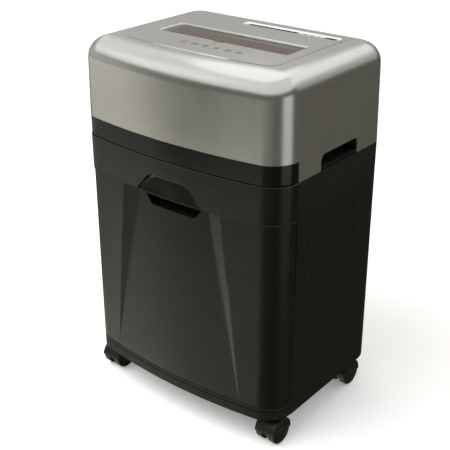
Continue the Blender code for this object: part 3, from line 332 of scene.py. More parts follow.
class Tree:
    """Short calls for building a node tree."""

    def __init__(self, tree):
        self.tree = tree
        self.shader = None
        tree.nodes.clear()

    def add(self, kind, inputs=None, **settings):
        """New node with its settings and its inputs, which are values or other nodes' outputs."""
        node = self.tree.nodes.new(kind)
        for key, value in settings.items():
            setattr(node, key, value)
        for key, value in (inputs or {}).items():
            self.feed(node.inputs[key], value)
        return node

    def feed(self, socket, value):
        if isinstance(value, bpy.types.NodeSocket):
            self.tree.links.new(value, socket)
        else:
            socket.default_value = value

    def math(self, operation, *values):
        return self.add("ShaderNodeMath", dict(enumerate(values)), operation=operation).outputs[0]

    def remap(self, value, from_low, from_high, to_low, to_high, kind="LINEAR"):
        ends = {"From Min": from_low, "From Max": from_high, "To Min": to_low, "To Max": to_high}
        return self.add("ShaderNodeMapRange", {"Value": value, **ends}, interpolation_type=kind).outputs[0]

    def band(self, value, half, edge):
        """One within a half width of zero, fading to none over an edge."""
        return self.remap(self.math("ABSOLUTE", value), half, half + edge, 1, 0, "SMOOTHSTEP")

    def mix(self, share, first, second):
        inputs = {"Factor": share, "A": first, "B": second}
        return self.add("ShaderNodeMix", inputs, data_type="RGBA").outputs["Result"]

    def place(self, stretch=(1, 1, 1)):
        """Position on the object in metres, stretched along its axes."""
        position = self.add("ShaderNodeTexCoord").outputs["Object"]
        return self.add("ShaderNodeMapping", {"Vector": position, "Scale": stretch}).outputs[0]

    def noise(self, place, scale, detail=2.0, roughness=0.5):
        inputs = {"Vector": place, "Scale": scale, "Detail": detail, "Roughness": roughness}
        return self.add("ShaderNodeTexNoise", inputs).outputs["Fac"]

    def cells(self, place, scale):
        return self.add("ShaderNodeTexVoronoi", {"Vector": place, "Scale": scale}).outputs["Distance"]

    def finish(self, colour, rough, height=None, depth=0.0):
        """Feeds the shader its colour, its roughness and a bump whose depth is in microns."""
        self.feed(self.shader.inputs["Base Color"], colour)
        self.feed(self.shader.inputs["Roughness"], rough)
        if height:
            bump = self.add("ShaderNodeBump", {"Distance": depth * MICRON, "Height": height})
            self.feed(self.shader.inputs["Normal"], bump.outputs[0])


def shade(colour, factor):
    return tuple(min(channel * factor, 1.0) for channel in colour) + (1.0,)


def principled(name, **constants):
    """New material and its tree with one Principled shader; constants go straight on its sockets."""
    material = bpy.data.materials.new(name)
    material.use_nodes = True
    tree = Tree(material.node_tree)
    sockets = {key.replace("_", " "): value for key, value in constants.items()}
    tree.shader = tree.add("ShaderNodeBsdfPrincipled", sockets)
    tree.add("ShaderNodeOutputMaterial", {"Surface": tree.shader.outputs[0]})
    return material, tree


def grey(level):
    return (level, level, level)


def moulded(name, colour, rough, spread=0.2, rough_spread=0.05, grain=1500, depth=30, cloud=9,
            wear=0.3, worn=grey(0.05), stretch=(1, 1, 1), pits=0.0, **constants):
    """Moulded or metal surface: cloudy tone, fine grain in tone and height, smudged gloss, rubbed edges."""
    material, tree = principled(name, **constants)
    place = tree.place(stretch)
    clouds = tree.noise(place, cloud, 3.0, 0.55)
    fine = tree.noise(place, grain, 2.0, 0.6)
    tone = tree.math("MULTIPLY_ADD", clouds, 0.6, tree.math("MULTIPLY", fine, 0.4))
    tone = tree.remap(tone, 0.3, 0.7, 0.0, 1.0)
    surface = tree.mix(tone, shade(colour, 1 - spread), shade(colour, 1 + spread))
    if wear:
        rubbed = tree.add("ShaderNodeNewGeometry").outputs["Pointiness"]
        rubbed = tree.remap(rubbed, 0.51, 0.60, 0.0, wear, "SMOOTHSTEP")
        broken = tree.remap(tree.noise(place, 160, 4.0, 0.6), 0.42, 0.62, 0.25, 1.0)
        surface = tree.mix(tree.math("MULTIPLY", rubbed, broken), surface, shade(worn, 1.0))
    smudge = tree.noise(place, 26, 4.0, 0.6)
    gloss = tree.remap(smudge, 0.35, 0.65, rough - rough_spread, rough + rough_spread)
    height = fine
    if pits:
        cells = tree.remap(tree.cells(place, grain * 0.55), 0.0, 0.55, 0.0, 1.0, "SMOOTHSTEP")
        height = tree.math("MULTIPLY_ADD", cells, pits, tree.math("MULTIPLY", fine, 1 - pits))
    tree.finish(surface, gloss, height, depth)
    return material


def tinted_plastic():
    """Smoke-brown see-through plastic with faint flow marks."""
    material, tree = principled(
        "tinted_flap_plastic", Transmission_Weight=0.30, IOR=1.49, Specular_IOR_Level=0.4)
    place = tree.place((1, 3, 1))
    flow = tree.noise(place, 14, 3.0, 0.5)
    colour = tree.mix(tree.remap(flow, 0.3, 0.7, 0, 1), (0.066, 0.040, 0.019, 1), (0.092, 0.060, 0.032, 1))
    haze = tree.remap(tree.noise(place, 60, 3.0, 0.5), 0.3, 0.7, 0.16, 0.24)
    tree.finish(colour, haze, flow, 4)
    return material


def lens_plastic():
    """Red lens with a cell pattern under its skin."""
    material, tree = principled("lamp_lens_red", Transmission_Weight=0.2, IOR=1.49)
    place = tree.place()
    cells = tree.cells(place, 1400)
    colour = tree.mix(tree.remap(cells, 0, 0.7, 0, 1), (0.30, 0.035, 0.02, 1), (0.12, 0.012, 0.008, 1))
    tree.finish(colour, tree.remap(tree.noise(place, 900), 0.3, 0.7, 0.12, 0.2), cells, 20)
    return material


def board_laminate():
    """Green laminate with paler tracks and pads."""
    material, tree = principled("circuit_board")
    place = tree.place()
    tracks = tree.add("ShaderNodeTexBrick", {
        "Vector": place, "Scale": 90, "Mortar Size": 0.035, "Color1": (0.012, 0.075, 0.030, 1),
        "Color2": (0.014, 0.090, 0.036, 1), "Mortar": (0.06, 0.19, 0.07, 1),
    })
    pads = tree.remap(tree.cells(place, 210), 0.10, 0.16, 1, 0)
    colour = tree.mix(pads, tracks.outputs["Color"], (0.55, 0.50, 0.38, 1))
    tree.finish(colour, tree.remap(tree.noise(place, 300), 0.3, 0.7, 0.28, 0.42), pads, 60)
    return material


# --- finishes, by the record's material slots

SILVER, PALE_SILVER = (0.56, 0.56, 0.545), (0.75, 0.75, 0.73)
SLOT_FINISH = {
    "silver_cover": moulded(
        "silver_paint", SILVER, 0.25, spread=0.05, rough_spread=0.02, grain=2600, depth=6, cloud=5,
        wear=0.25, worn=PALE_SILVER, Metallic=0.92),
    "silver_strip": moulded(
        "silver_strip_paint", SILVER, 0.28, spread=0.05, rough_spread=0.02, grain=2600, depth=6, cloud=11,
        worn=PALE_SILVER, Metallic=0.8),
    "gloss_collar": moulded(
        "gloss_black_collar", (0.0022, 0.0022, 0.0018), 0.12, rough_spread=0.02, grain=500, depth=2,
        cloud=12, wear=0.2, worn=grey(0.03), Specular_IOR_Level=0.42),
    "satin_front": moulded(
        "satin_black_front", (0.0042, 0.0042, 0.0028), 0.28, spread=0.12, rough_spread=0.03, grain=1400,
        depth=4, cloud=8, wear=0.2, worn=(0.03, 0.03, 0.026), Specular_IOR_Level=0.40),
    "grained_panels": moulded(
        "grained_black_panels", (0.0068, 0.0068, 0.0040), 0.5, spread=0.15, rough_spread=0.02, depth=40,
        wear=0.25, worn=(0.03, 0.03, 0.025), pits=0.6, Specular_IOR_Level=0.3),
    "tinted_flap": tinted_plastic(),
    "black_mouldings": moulded("black_mouldings", (0.011, 0.011, 0.0105), 0.5, grain=1100, pits=0.5),
    "switch_knob": moulded("switch_knob_plastic", grey(0.010), 0.38, grain=1800, depth=20, wear=0.4),
    "bin_plastic": moulded(
        "bin_plastic", (0.011, 0.011, 0.0100), 0.42, spread=0.14, grain=1400, depth=15, cloud=14, wear=0.4,
        worn=grey(0.07), pits=0.4),
    "lamp_lens": lens_plastic(),
    "cord_grommet": moulded("soft_rubber", grey(0.013), 0.68, spread=0.25, grain=1300, depth=40, pits=0.5),
    "cutter_steel": moulded(
        "cutter_steel", (0.48, 0.47, 0.45), 0.3, spread=0.15, grain=700, depth=20, wear=0.6,
        worn=(0.8, 0.8, 0.78), stretch=(9, 1, 1), Metallic=1.0),
    "zinc_steel": moulded(
        "zinc_steel", (0.62, 0.62, 0.60), 0.34, spread=0.14, grain=900, depth=20, cloud=60, wear=0.4,
        worn=grey(0.8), stretch=(1, 1, 5), Metallic=1.0),
    "gear_nylon": moulded(
        "gear_nylon", (0.68, 0.66, 0.58), 0.42, spread=0.07, grain=800, depth=20, cloud=40,
        worn=(0.5, 0.48, 0.42), Subsurface_Weight=0.08),
    "motor_steel": moulded(
        "motor_steel", (0.33, 0.33, 0.34), 0.38, spread=0.16, grain=900, depth=20, cloud=50, wear=0.5,
        worn=grey(0.6), stretch=(6, 1, 1), Metallic=0.9),
    "bearing_bronze": moulded(
        "bearing_bronze", (0.55, 0.36, 0.17), 0.33, spread=0.18, grain=1600, cloud=80, wear=0.4,
        worn=(0.75, 0.55, 0.32), pits=0.7, Metallic=1.0),
    "circuit_board": board_laminate(),
    "caster_hoods": moulded(
        "caster_hood_nylon", (0.006, 0.006, 0.0045), 0.45, grain=1200, wear=0.35, worn=(0.06, 0.06, 0.055),
        pits=0.4),
    "caster_wheels": moulded(
        "caster_wheel_nylon", (0.006, 0.006, 0.0048), 0.5, spread=0.25, grain=1000, depth=40, wear=0.4,
        worn=(0.07, 0.065, 0.06), pits=0.3),
}
ink = moulded("symbol_ink", (0.030, 0.030, 0.029), 0.45, grain=2000, depth=4, cloud=60, wear=0.0,
              Specular_IOR_Level=0.12)
bright_trim = moulded(
    "bright_strip_trim", (0.88, 0.88, 0.87), 0.22, spread=0.03, rough_spread=0.03, grain=2200, depth=4,
    cloud=14, worn=grey(0.95), Metallic=0.6)


def slot_of(node):
    """The record's slot whose finish covers a CAD node."""
    return next(row["material_slot"] for row in frame["record"]["subparts"] if row["node"] == node)


for node_name, node in frame["nodes"].items():
    node.data.materials.clear()
    node.data.materials.append(SLOT_FINISH[slot_of(node_name)])


def place_piece(item, slot, *nodes, body="cabinet", finish=None):
    """Gives a piece the finish of its slot, or the finish passed in, puts it under its body and hides the CAD
    nodes that it stands for.
    """
    item.data.materials.clear()
    item.data.materials.append(finish or SLOT_FINISH[slot])
    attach(item, body)
    if nodes:
        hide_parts(*nodes)


# --- silver cover

PANEL_RISE, PANEL_SINK, PANEL_SLOPE = 0.0007, 0.0006, 0.0001
PANEL_HALF, PANEL_REAR, PANEL_FRONT, PANEL_STEPS = 0.1345, 0.1040, 0.0530, 24
CRESCENT_HALF, CRESCENT_WIDTH = 0.069, 0.0032


def cover_ring(inset, front_inset, z):
    """Plan ring whose front is moved in further than its sides, fading round the front corners."""
    start = -math.pi / 2 + FRONT_SLOPE
    corner = [math.sin(start * (1 - step / CORNER_STEPS)) ** 2 for step in range(CORNER_STEPS + 1)]
    shares = [0.0] + corner[::-1] + [1.0] * (BOW_STEPS - 1) + corner + [0.0]
    ring = plan_ring(inset)
    shares += [0.0] * (len(ring) - len(shares))
    return [(x, y + share * (front_inset - inset), z) for (x, y), share in zip(ring, shares)]


def cover_rings(wall, arc_steps):
    """Rings of the cover, bottom to top, moved inwards by a wall."""
    shoulder = COVER_TOP - TOP_EDGE_RADIUS
    radius, front_radius = TOP_EDGE_RADIUS - wall, FRONT_SHOULDER - wall
    rings = [
        cover_ring(wall, wall, APRON_BOTTOM),
        cover_ring(wall + COVER_DRAFT / 2, wall + COVER_DRAFT / 2, (APRON_BOTTOM + shoulder) / 2),
    ]
    in_by = COVER_DRAFT + wall
    for step in range(arc_steps + 1):
        turn = math.pi / 2 * step / arc_steps
        rings.append(cover_ring(
            in_by + radius * (1 - math.cos(turn)),
            in_by + front_radius * (1 - math.cos(turn)),
            shoulder + (radius - PANEL_RISE) * math.sin(turn),
        ))
    return rings


def window(grow, radius):
    """Outline of the feed window, moved outwards."""
    half = FLAP_HALF + GAP + grow
    return rectangle(-half, FLAP_FRONT - GAP - grow, half, FLAP_REAR + GAP + grow, radius, 8)


def top_openings():
    """Cutters for the feed window with its sloping rim, the finger tab, the strip and the lamp."""
    above, below = COVER_TOP + 0.01, COVER_TOP - 0.01
    tab_half = TAB_HALF + TAB_ROOM
    tab = rectangle(-tab_half, FLAP_FRONT - TAB_REACH - TAB_ROOM, tab_half, FLAP_FRONT + 0.01, 0.0025)
    opening = join(solid(window(0.0, WINDOW_RADIUS), below, above), solid(tab, below, above))
    rim = []
    for grow, height in ((0.0, -FLAP_DROP - 0.0004), (0.0007, -0.0016), (0.0025, 0.0002)):
        rim.append([(x, y, COVER_TOP + height) for x, y in window(grow, WINDOW_RADIUS + grow)])
    strip = rectangle(STRIP_LEFT, STRIP_FRONT, STRIP_RIGHT, STRIP_REAR, 0.003, 8)
    lamp = circle((LAMP_X, LAMP_Y), LAMP_RADIUS + GAP, 24)
    return [opening, loft("rim", rim), solid(strip, below, above), solid(lamp, below, above)]


def panel_loop(shrink, crescent, z):
    """Outline of the raised top panel: bowed front, rounded corners, straight sides and rear."""
    half, rear = PANEL_HALF - shrink, PANEL_REAR - shrink
    front = []
    for step in range(-PANEL_STEPS, PANEL_STEPS + 1):
        x = (PANEL_HALF - 0.020) * step / PANEL_STEPS
        hollow = crescent * CRESCENT_WIDTH * max(0.0, 1 - (x / CRESCENT_HALF) ** 2)
        front.append((x, front_y(x, PANEL_FRONT + shrink + hollow)))
    corner_y = front_y(half, PANEL_FRONT + shrink)
    corners = [(-half, corner_y)] + front + [(half, corner_y), (half, rear), (-half, rear)]
    points = rounded(corners, [0.018] + [0] * len(front) + [0.018, 0.006, 0.006], 12)
    return [(x, y, z) for x, y in points]


def build_window_lining():
    """Silver wall that lines the feed window down to the flap, with notches for the hinge pins."""
    top, bottom = COVER_TOP - PANEL_RISE - COVER_WALL, COVER_TOP - FLAP_DROP - FLAP_THICK - GAP
    below, above = bottom - 0.01, top + 0.01
    lining = prism("window_lining", window(0.0009, 0.0036), bottom, top)
    cut(lining, solid(window(0.0, WINDOW_RADIUS), below, above))
    pins = rectangle(FLAP_HINGE_Y - HINGE_ROOM, below, FLAP_HINGE_Y + HINGE_ROOM, top - 0.0012)
    tab_half = TAB_HALF + TAB_ROOM
    tab = box("tab", (-tab_half, FLAP_FRONT - 0.01, below), (tab_half, FLAP_FRONT + 0.01, above))
    cut(lining, solid(pins, -FAR, FAR, "YZ"), tab)
    place_piece(soften(lining, 0.0001, 30, 2), "silver_cover")


def build_throat():
    """Black frame under the window: tray, hinge sockets, paper slot and funnel."""
    low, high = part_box("feed_throat")
    floor = COVER_TOP - FLAP_DROP - FLAP_THICK - GAP
    throat = prism("throat_frame", rectangle(low.x, low.y, high.x, high.y, 0.002), floor - 0.0036, high.z)
    funnel = centred(0.0, SLOT_Y, SLOT_HALF + 0.0018, 0.0075, 0.002)
    join(throat, solid(funnel, low.z, floor - 0.003))
    half, front = FLAP_HALF + GAP + TRAY_ROOM, FLAP_FRONT - TAB_REACH - TAB_ROOM
    tray = rectangle(-half, front, half, FLAP_REAR + GAP + TRAY_ROOM, 0.003, 8)
    half = FLAP_HALF + 0.0035
    sockets = box("sockets", (-half, FLAP_HINGE_Y - HINGE_ROOM, COVER_TOP - FLAP_DROP - 0.0034),
                  (half, FLAP_HINGE_Y + HINGE_ROOM, high.z + 0.01))
    slot = centred(0.0, SLOT_Y, SLOT_HALF, SLOT_WIDTH / 2, 0.001, 4)
    cut(throat, solid(tray, floor, high.z + 0.01), sockets, solid(slot, low.z - 0.01, high.z + 0.01))
    place_piece(soften(throat, 0.0005, 30, 3), "black_mouldings", "feed_throat")


def build_cover():
    """Silver shell, cut away at the front, the grips, the gland and the top, and its raised top panel."""
    shell = loft("cover_shell", cover_rings(COVER_WALL, 12)[::-1] + cover_rings(0.0, ARC_STEPS))
    low, below = COVER_FRONT_EDGE, APRON_BOTTOM - 0.1
    corner = [(-FAR, below), (SEAM_Y, below), (SEAM_Y, low), (-FAR, low)]
    front = solid(rounded(corner, [0, 0, 0.0045, 0], 10), -FAR, FAR, "YZ")
    grip = [(GRIP_FRONT, below), (GRIP_REAR, below), (GRIP_REAR, GRIP_TOP), (GRIP_FRONT, GRIP_TOP)]
    grips = solid(rounded(grip, [0, 0, 0.006, 0.010], 10), -FAR, FAR, "YZ")
    gland = circle((GLAND_X, GLAND_Z), GLAND_HOLE)
    gland = solid(gland, HALF_DEPTH - 0.02, HALF_DEPTH + 0.02, "XZ")
    cut(shell, front, grips, gland, *top_openings())
    place_piece(soften(shell, 0.0006, 40, 3), "silver_cover", "top_cover")

    foot = COVER_TOP - PANEL_RISE
    loops = [panel_loop(-0.0002, 0.0, foot - PANEL_SINK), panel_loop(0.0, 0.0, foot),
             panel_loop(PANEL_SLOPE, 1.0, COVER_TOP)]
    panel = cut(loft("cover_top_panel", loops), *top_openings())
    place_piece(soften(panel, 0.0002, 10, 2), "silver_cover")
    build_window_lining()


# --- head fittings


def build_collar():
    section = rectangle(COLLAR_INSET, COLLAR_BOTTOM, COLLAR_INSET + THIN_WALL, COLLAR_TOP, 0.0007, 4)
    collar = soften(front_band("gloss_collar_band", section, COLLAR_END_GAP), 0)
    place_piece(collar, "gloss_collar", "front_collar")


def build_flap():
    """Flap with rounded edges, a finger tab and a hinge bar."""
    top = COVER_TOP - FLAP_DROP
    bottom = top - FLAP_THICK
    outline = rectangle(-FLAP_HALF + GAP, FLAP_FRONT + GAP, FLAP_HALF - GAP, FLAP_HINGE_Y, 0.002)
    tab = rectangle(-TAB_HALF, FLAP_FRONT - TAB_REACH, TAB_HALF, FLAP_FRONT + 0.006, 0.002)
    hinge = circle((FLAP_HINGE_Y, top - HINGE_PIN), HINGE_PIN, 24)
    flap = prism("feed_flap_tinted", outline, bottom, top)
    bar = solid(hinge, -FLAP_HALF - 0.003, FLAP_HALF + 0.003, "YZ")
    join(flap, solid(tab, bottom + 0.0002, top - 0.0002), bar)
    place_piece(soften(flap, 0.0004, 35, 3), "tinted_flap", "feed_flap", body="flap")


def strip_outline(left, front, right, rear, radius):
    """Outline of the strip, moved in from each side of its recess."""
    left, front = STRIP_LEFT + GAP + left, STRIP_FRONT + GAP + front
    return rectangle(left, front, STRIP_RIGHT - GAP - right, STRIP_REAR - GAP - rear, radius, 8)


def card_outline(grow, radius):
    half = CARD_GAP / 2 + grow
    return rectangle(CARD_LEFT - grow, CARD_Y - half, CARD_RIGHT + grow, CARD_Y + half, radius, 4)


def build_strip():
    """Strip let into the cover: bright sloping trim, plate with two slots, switch field and card chute."""
    top, floor = COVER_TOP - 0.00015, COVER_TOP - STRIP_DROP
    chute_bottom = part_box("card_slot_strip")[0].z
    below, above = COVER_TOP - 0.066, COVER_TOP + 0.034

    rim, lip = strip_outline(0, 0, 0, 0, 0.0026), strip_outline(0.0004, 0.0004, 0.0004, 0.0004, 0.0024)
    foot = strip_outline(0.0030, 0.0010, 0.0015, 0.0037, 0.0018)
    loops = [(rim, floor - STRIP_THICK), (rim, top - 0.0002), (lip, top), (foot, floor)]
    trim = loft("strip_trim", [[(x, y, z) for x, y in loop] for loop, z in loops])
    cut(trim, solid(foot, below, above))
    place_piece(soften(trim, 0.0002, 30, 2), "silver_strip", finish=bright_trim)

    plate = strip_outline(0.0024, 0.0006, 0.0010, 0.0030, 0.0018)
    strip = prism("card_strip", plate, floor - STRIP_THICK + 0.0002, floor - 0.00005)
    reach = SWITCH_TRAVEL + SWITCH_KNOB / 2 - 0.0015
    slot = centred(SWITCH_X, SWITCH_Y, reach, 0.0017, 0.0005, 4)
    neck = card_outline(0.0005, 0.0010)
    cut(strip, solid(neck, below, above), solid(slot, below, above))
    place_piece(soften(strip, 0.0001, 30, 2), "silver_strip", "card_slot_strip", finish=bright_trim)

    field = centred(SWITCH_X, SWITCH_Y, reach + 0.0022, 0.0040, 0.0030, 8)
    field = prism("switch_field", field, floor - 0.0002, floor + 0.0001)
    cut(field, solid(slot, below, above))
    place_piece(soften(field, 0), "silver_strip", finish=ink)

    chute = prism("card_chute", card_outline(CHUTE_WALL, 0.0010), chute_bottom, floor - STRIP_THICK + 0.0004)
    join(chute, solid(neck, floor - STRIP_THICK, floor - 0.0002))
    cut(chute, solid(card_outline(0.0, 0.0008), below, above))
    place_piece(soften(chute, 0.0001, 30, 2), "black_mouldings")


def build_knob():
    """Slide knob with five grip ribs and a stem."""
    low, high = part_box("mode_switch_knob")
    head_low = COVER_TOP - STRIP_DROP + GAP
    half_y = 0.0025
    body = centred(SWITCH_X, SWITCH_Y, SWITCH_KNOB / 2, half_y, 0.0008, 5)
    knob = prism("mode_knob", body, head_low, high.z - 0.0003)
    for step in range(-2, 3):
        rib = centred(SWITCH_X + step * 0.0017, SWITCH_Y, 0.00045, half_y - 0.0003)
        join(knob, solid(rib, high.z - 0.0006, high.z))
    stem = centred(SWITCH_X, SWITCH_Y, 0.0015, 0.0010)
    join(knob, solid(stem, low.z, head_low + 0.0003))
    place_piece(soften(knob, 0.00015, 30, 2), "switch_knob", "mode_switch_knob", body="mode_switch")


def build_lens():
    """Domed lens with a shoulder under the cover."""
    low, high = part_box("status_lamp_lens")
    dome = [(0.0001 + LAMP_RADIUS * math.sin(a), high.z - 0.0004 * (1 - math.cos(a))) for a in QUARTER_TURN]
    ledge, shoulder = high.z - 0.003, high.x - LAMP_X
    profile = dome + [(LAMP_RADIUS, ledge), (shoulder, ledge), (shoulder, low.z), (0.0001, low.z)]
    lens = soften(lathe("status_lens", profile, (LAMP_X, LAMP_Y, 0), steps=32), 0)
    place_piece(lens, "lamp_lens", "status_lamp_lens")


def build_symbols():
    """Seven plain pictograms in front of the flap and three marks beside the mode switch."""
    deck, raised = COVER_TOP - 0.00005, COVER_TOP + 0.00008
    pitch, row_y, grow = 0.0197, -0.0545, 1.3

    def hollow(outer, inner):
        return cut(solid(outer, deck, raised), solid(inner, deck - 0.001, raised + 0.001))

    def pane(x, half_x, half_y, line=0.0006):
        outer = centred(x, row_y, half_x * grow, half_y * grow, 0.0010)
        inner = centred(x, row_y, (half_x - line) * grow, (half_y - line) * grow, 0.0004)
        return hollow(outer, inner)

    def ring(x, outer, inner):
        return hollow(circle((x, row_y), outer * grow), circle((x, row_y), inner * grow))

    def bar(x, lift, half_x, half_y=0.0004):
        outline = centred(x, row_y + lift * grow, half_x * grow, half_y * grow, 0.0002)
        return solid(outline, deck, raised)

    shapes = [
        [solid(circle((-3 * pitch, row_y), 0.0011), deck, raised)],
        [pane(-2 * pitch, 0.0030, 0.0036)],
        [pane(-pitch, 0.0038, 0.0026), bar(-pitch, 0.0, 0.0022)],
        [ring(0.0, 0.0036, 0.0029), ring(0.0, 0.0012, 0.0007)],
        [bar(pitch, 0.0018, 0.0030), bar(pitch, -0.0018, 0.0030), bar(pitch, 0.0, 0.0020)],
        [pane(2 * pitch, 0.0034, 0.0034), bar(2 * pitch, 0.0, 0.0004, 0.0024)],
        [ring(3 * pitch, 0.0034, 0.0027), bar(3 * pitch, 0.0, 0.0014)],
    ]
    for index, (first, *others) in enumerate(shapes, 1):
        join(first, *others)
        first.name = f"symbol_{index}"
        place_piece(soften(first, 0), "silver_cover", finish=ink)
    floor = COVER_TOP - STRIP_DROP
    marks = [(0.0695, 0.0022, 4), (0.0810, 0.0017, 24), (0.0925, 0.0022, 3)]
    for index, (x, radius, sides) in enumerate(marks, 1):
        outline = circle((x, 0.0885), radius, sides)
        mark = prism(f"mode_mark_{index}", outline, floor - 0.0001, floor + 0.00008)
        place_piece(soften(mark, 0), "silver_strip", finish=ink)


def build_gland():
    """Turned rubber ring in its hole at the back, with a flange inside the cover."""
    low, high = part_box("cord_gland")
    length = high.y - low.y
    neck, flange, bore, edge = GLAND_HOLE - GAP, high.x - GLAND_X, 0.0036, 0.0004
    profile = [
        (bore, 0.0), (bore + 0.0006, 0.0), (neck - 0.0006, 0.0), (neck, -0.0006), (neck, -length / 2),
        (flange - edge, -length / 2), (flange, -length / 2 - edge), (flange, -length + edge),
        (flange - edge, -length), (bore, -length),
    ]
    middle = (GLAND_X, HALF_DEPTH - 0.0005, GLAND_Z)
    gland = soften(lathe("cord_gland_ring", profile, middle, "XZ", 40), 0)
    place_piece(gland, "cord_grommet", "cord_gland")


# --- cabinet


def side_rows(depth):
    """Height and inset pairs up the outside, then down the inside, of a side wall with a relief."""
    bottom, top = CABINET_BOTTOM, SIDE_TOP
    outside = [(bottom, 0.0), (RELIEF_BOTTOM, 0.0), (RELIEF_TOP - RELIEF_LEDGE, depth), (RELIEF_TOP, 0.0)]
    inside = [(RELIEF_TOP + RELIEF_LEDGE, WALL), (RELIEF_TOP, depth + WALL), (RELIEF_BOTTOM, WALL)]
    return outside + [(top, 0.0), (top, WALL)] + inside + [(bottom, WALL)]


def build_side_panel(name, side):
    """Side wall from the front seam round the rear corner, with a tapering relief."""
    def edge(bottom, top):
        return lambda z: between(z, RELIEF_BOTTOM, bottom, RELIEF_TOP, top)

    columns = [
        (lambda z: SEAM_Y + GAP, 0.0),
        (edge(RELIEF_FRONT_BOTTOM - RIDGE_WIDTH, RELIEF_FRONT_TOP - RIDGE_WIDTH), 0.0),
        (edge(RELIEF_FRONT_BOTTOM, RELIEF_FRONT_TOP), -RIDGE_HEIGHT),
        (edge(RELIEF_FRONT_BOTTOM, RELIEF_FRONT_TOP + RELIEF_SLOPE), RELIEF_DEPTH),
        (edge(RELIEF_REAR_BOTTOM, RELIEF_REAR_TOP - RELIEF_SLOPE), RELIEF_DEPTH),
        (edge(RELIEF_REAR_BOTTOM, RELIEF_REAR_TOP), 0.0),
    ]
    sections = []
    for index, (place, depth) in enumerate(columns):
        nudge = 0.0001 * index
        rows = side_rows(depth)
        sections.append([(side * (HALF_WIDTH - inset), place(z) + nudge, z) for z, inset in rows])
    rows = side_rows(0.0)
    corners = [rear_corner(inset) for _, inset in rows]
    for step in range(CORNER_STEPS + 1):
        ends = [corner[step] for corner in corners]
        sections.append([(side * x, y, z) for (z, _), (x, y) in zip(rows, ends)])
    panel = soften(loft(name + "_skin", sections), 0.0006, 14, 3)
    place_piece(panel, "grained_panels", name)


def build_rear_panel():
    """Back wall with a grooved border and two groups of blind louvres."""
    low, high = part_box("rear_panel")

    def inside(margin, radius, steps=8):
        return rectangle(low.x + margin, low.z + margin, high.x - margin, high.z - margin, radius, steps)

    panel = prism("rear_wall", inside(0.0, 0.0008, 4), low.y, high.y, "XZ")
    margin, line, deep = 0.016, 0.0022, 0.0009
    groove = solid(inside(margin, 0.010), high.y - deep, high.y + 0.01, "XZ")
    cut(groove, solid(inside(margin + line, 0.008), high.y - 0.01, high.y + 0.02, "XZ"))
    cut(panel, groove)
    for column_x in (-0.050, 0.050):
        for row in range(7):
            slot = centred(column_x, high.z - 0.052 - row * 0.009, 0.030, 0.0018, 0.0017, 5)
            cut(panel, solid(slot, high.y - 0.0014, high.y + 0.01, "XZ"))
    place_piece(soften(panel, 0.0003, 30, 2), "grained_panels", "rear_panel")


def build_base():
    """Band under the drawer with its groove, and the floor with caster sockets and ribs."""
    bottom, groove_z, groove, deep = CABINET_BOTTOM, 0.0628, 0.0007, 0.0016
    section = [
        (0.0008, bottom), (0.0, bottom + 0.0008), (0.0, groove_z - groove), (deep, groove_z - groove * 0.6),
        (deep, groove_z + groove * 0.6), (0.0, groove_z + groove), (0.0, BASE_BAND_TOP - 0.0006),
        (0.0006, BASE_BAND_TOP), (BAND_WALL, BASE_BAND_TOP), (BAND_WALL, bottom),
    ]
    band = soften(front_band("base_band", section), 0.0001, 25, 2)
    place_piece(band, "grained_panels", "base_tray")
    floor = prism("base_floor", plan_ring(WALL + GAP), bottom + 0.001, bottom + 0.005)
    for _, x, y in caster_places():
        join(floor, solid(circle((x, y), 0.0080), bottom + 0.003, bottom + 0.020))
    for _, x, y in caster_places():
        cut(floor, solid(circle((x, y), STEM_RADIUS + RUNNING_FIT), 0.0, bottom + 0.030))
    for step in range(-3, 4):
        rib = centred(step * 0.034, 0.010, 0.0009, 0.110)
        join(floor, solid(rib, bottom, bottom + 0.0015))
    place_piece(soften(floor, 0.0004, 30, 2), "grained_panels")


# --- drawer


def drawer_rows(depth, backing):
    """Height and inset pairs up the outside, then down the inside, of the drawer front."""
    bottom, top = DRAWER_BOTTOM, DRAWER_TOP
    deep = CREASE_STEP + depth
    under = CREASE - CREASE_RISE
    outside = [(bottom, 0.0007), (bottom + 0.0007, 0.0), (RECESS_BOTTOM, 0.0)]
    for step in range(1, 13):
        share = step / 12
        outside.append((RECESS_BOTTOM + (under - RECESS_BOTTOM) * share, deep * share))
    outside += [(CREASE - 0.0003, 0.0003), (CREASE, 0.0), (CREASE + 0.0011, 0.0008), (CREASE + 0.0015, 0.0)]
    outside += [(top - 0.0007, 0.0), (top, 0.0007)]
    mid = (RECESS_BOTTOM + CREASE) / 2
    inside = [
        (top, WALL + backing), (CREASE + WALL, WALL + backing), (under + WALL, max(deep, backing) + WALL),
        (mid, deep * 0.5 + WALL), (RECESS_BOTTOM, WALL), (bottom, WALL),
    ]
    return outside + inside


def drawer_columns():
    """Columns of the drawer front, centre to corner: x at a height, relief depth, backing."""
    def edge(bottom, top):
        return lambda z: between(z, RECESS_BOTTOM, bottom, CREASE, top)

    end_x, _, _ = front_end(0.0)
    keys = [
        (lambda z: 0.0, RECESS_DEPTH, DISH_BACKING, 6),
        (lambda z: 0.034, RECESS_DEPTH, DISH_BACKING, 8),
        (edge(RECESS_HALF_BOTTOM - 0.001, RECESS_FLOOR_TOP), RECESS_DEPTH, DISH_BACKING, 4),
        (edge(RECESS_HALF_BOTTOM, RECESS_HALF_TOP), 0.0, 0.0, 5),
        (edge(0.1280, 0.1200), 0.0, 0.0, 3),
        (lambda z: end_x, 0.0, 0.0, 1),
    ]
    columns = []
    for (place, depth, backing, steps), (next_place, next_depth, next_backing, _) in zip(keys, keys[1:]):
        for step in range(steps):
            share = step / steps
            columns.append((
                lambda z, a=place, b=next_place, s=share: a(z) * (1 - s) + b(z) * s,
                depth + (next_depth - depth) * share,
                backing + (next_backing - backing) * share,
            ))
    columns.append(keys[-1][:3])
    return columns


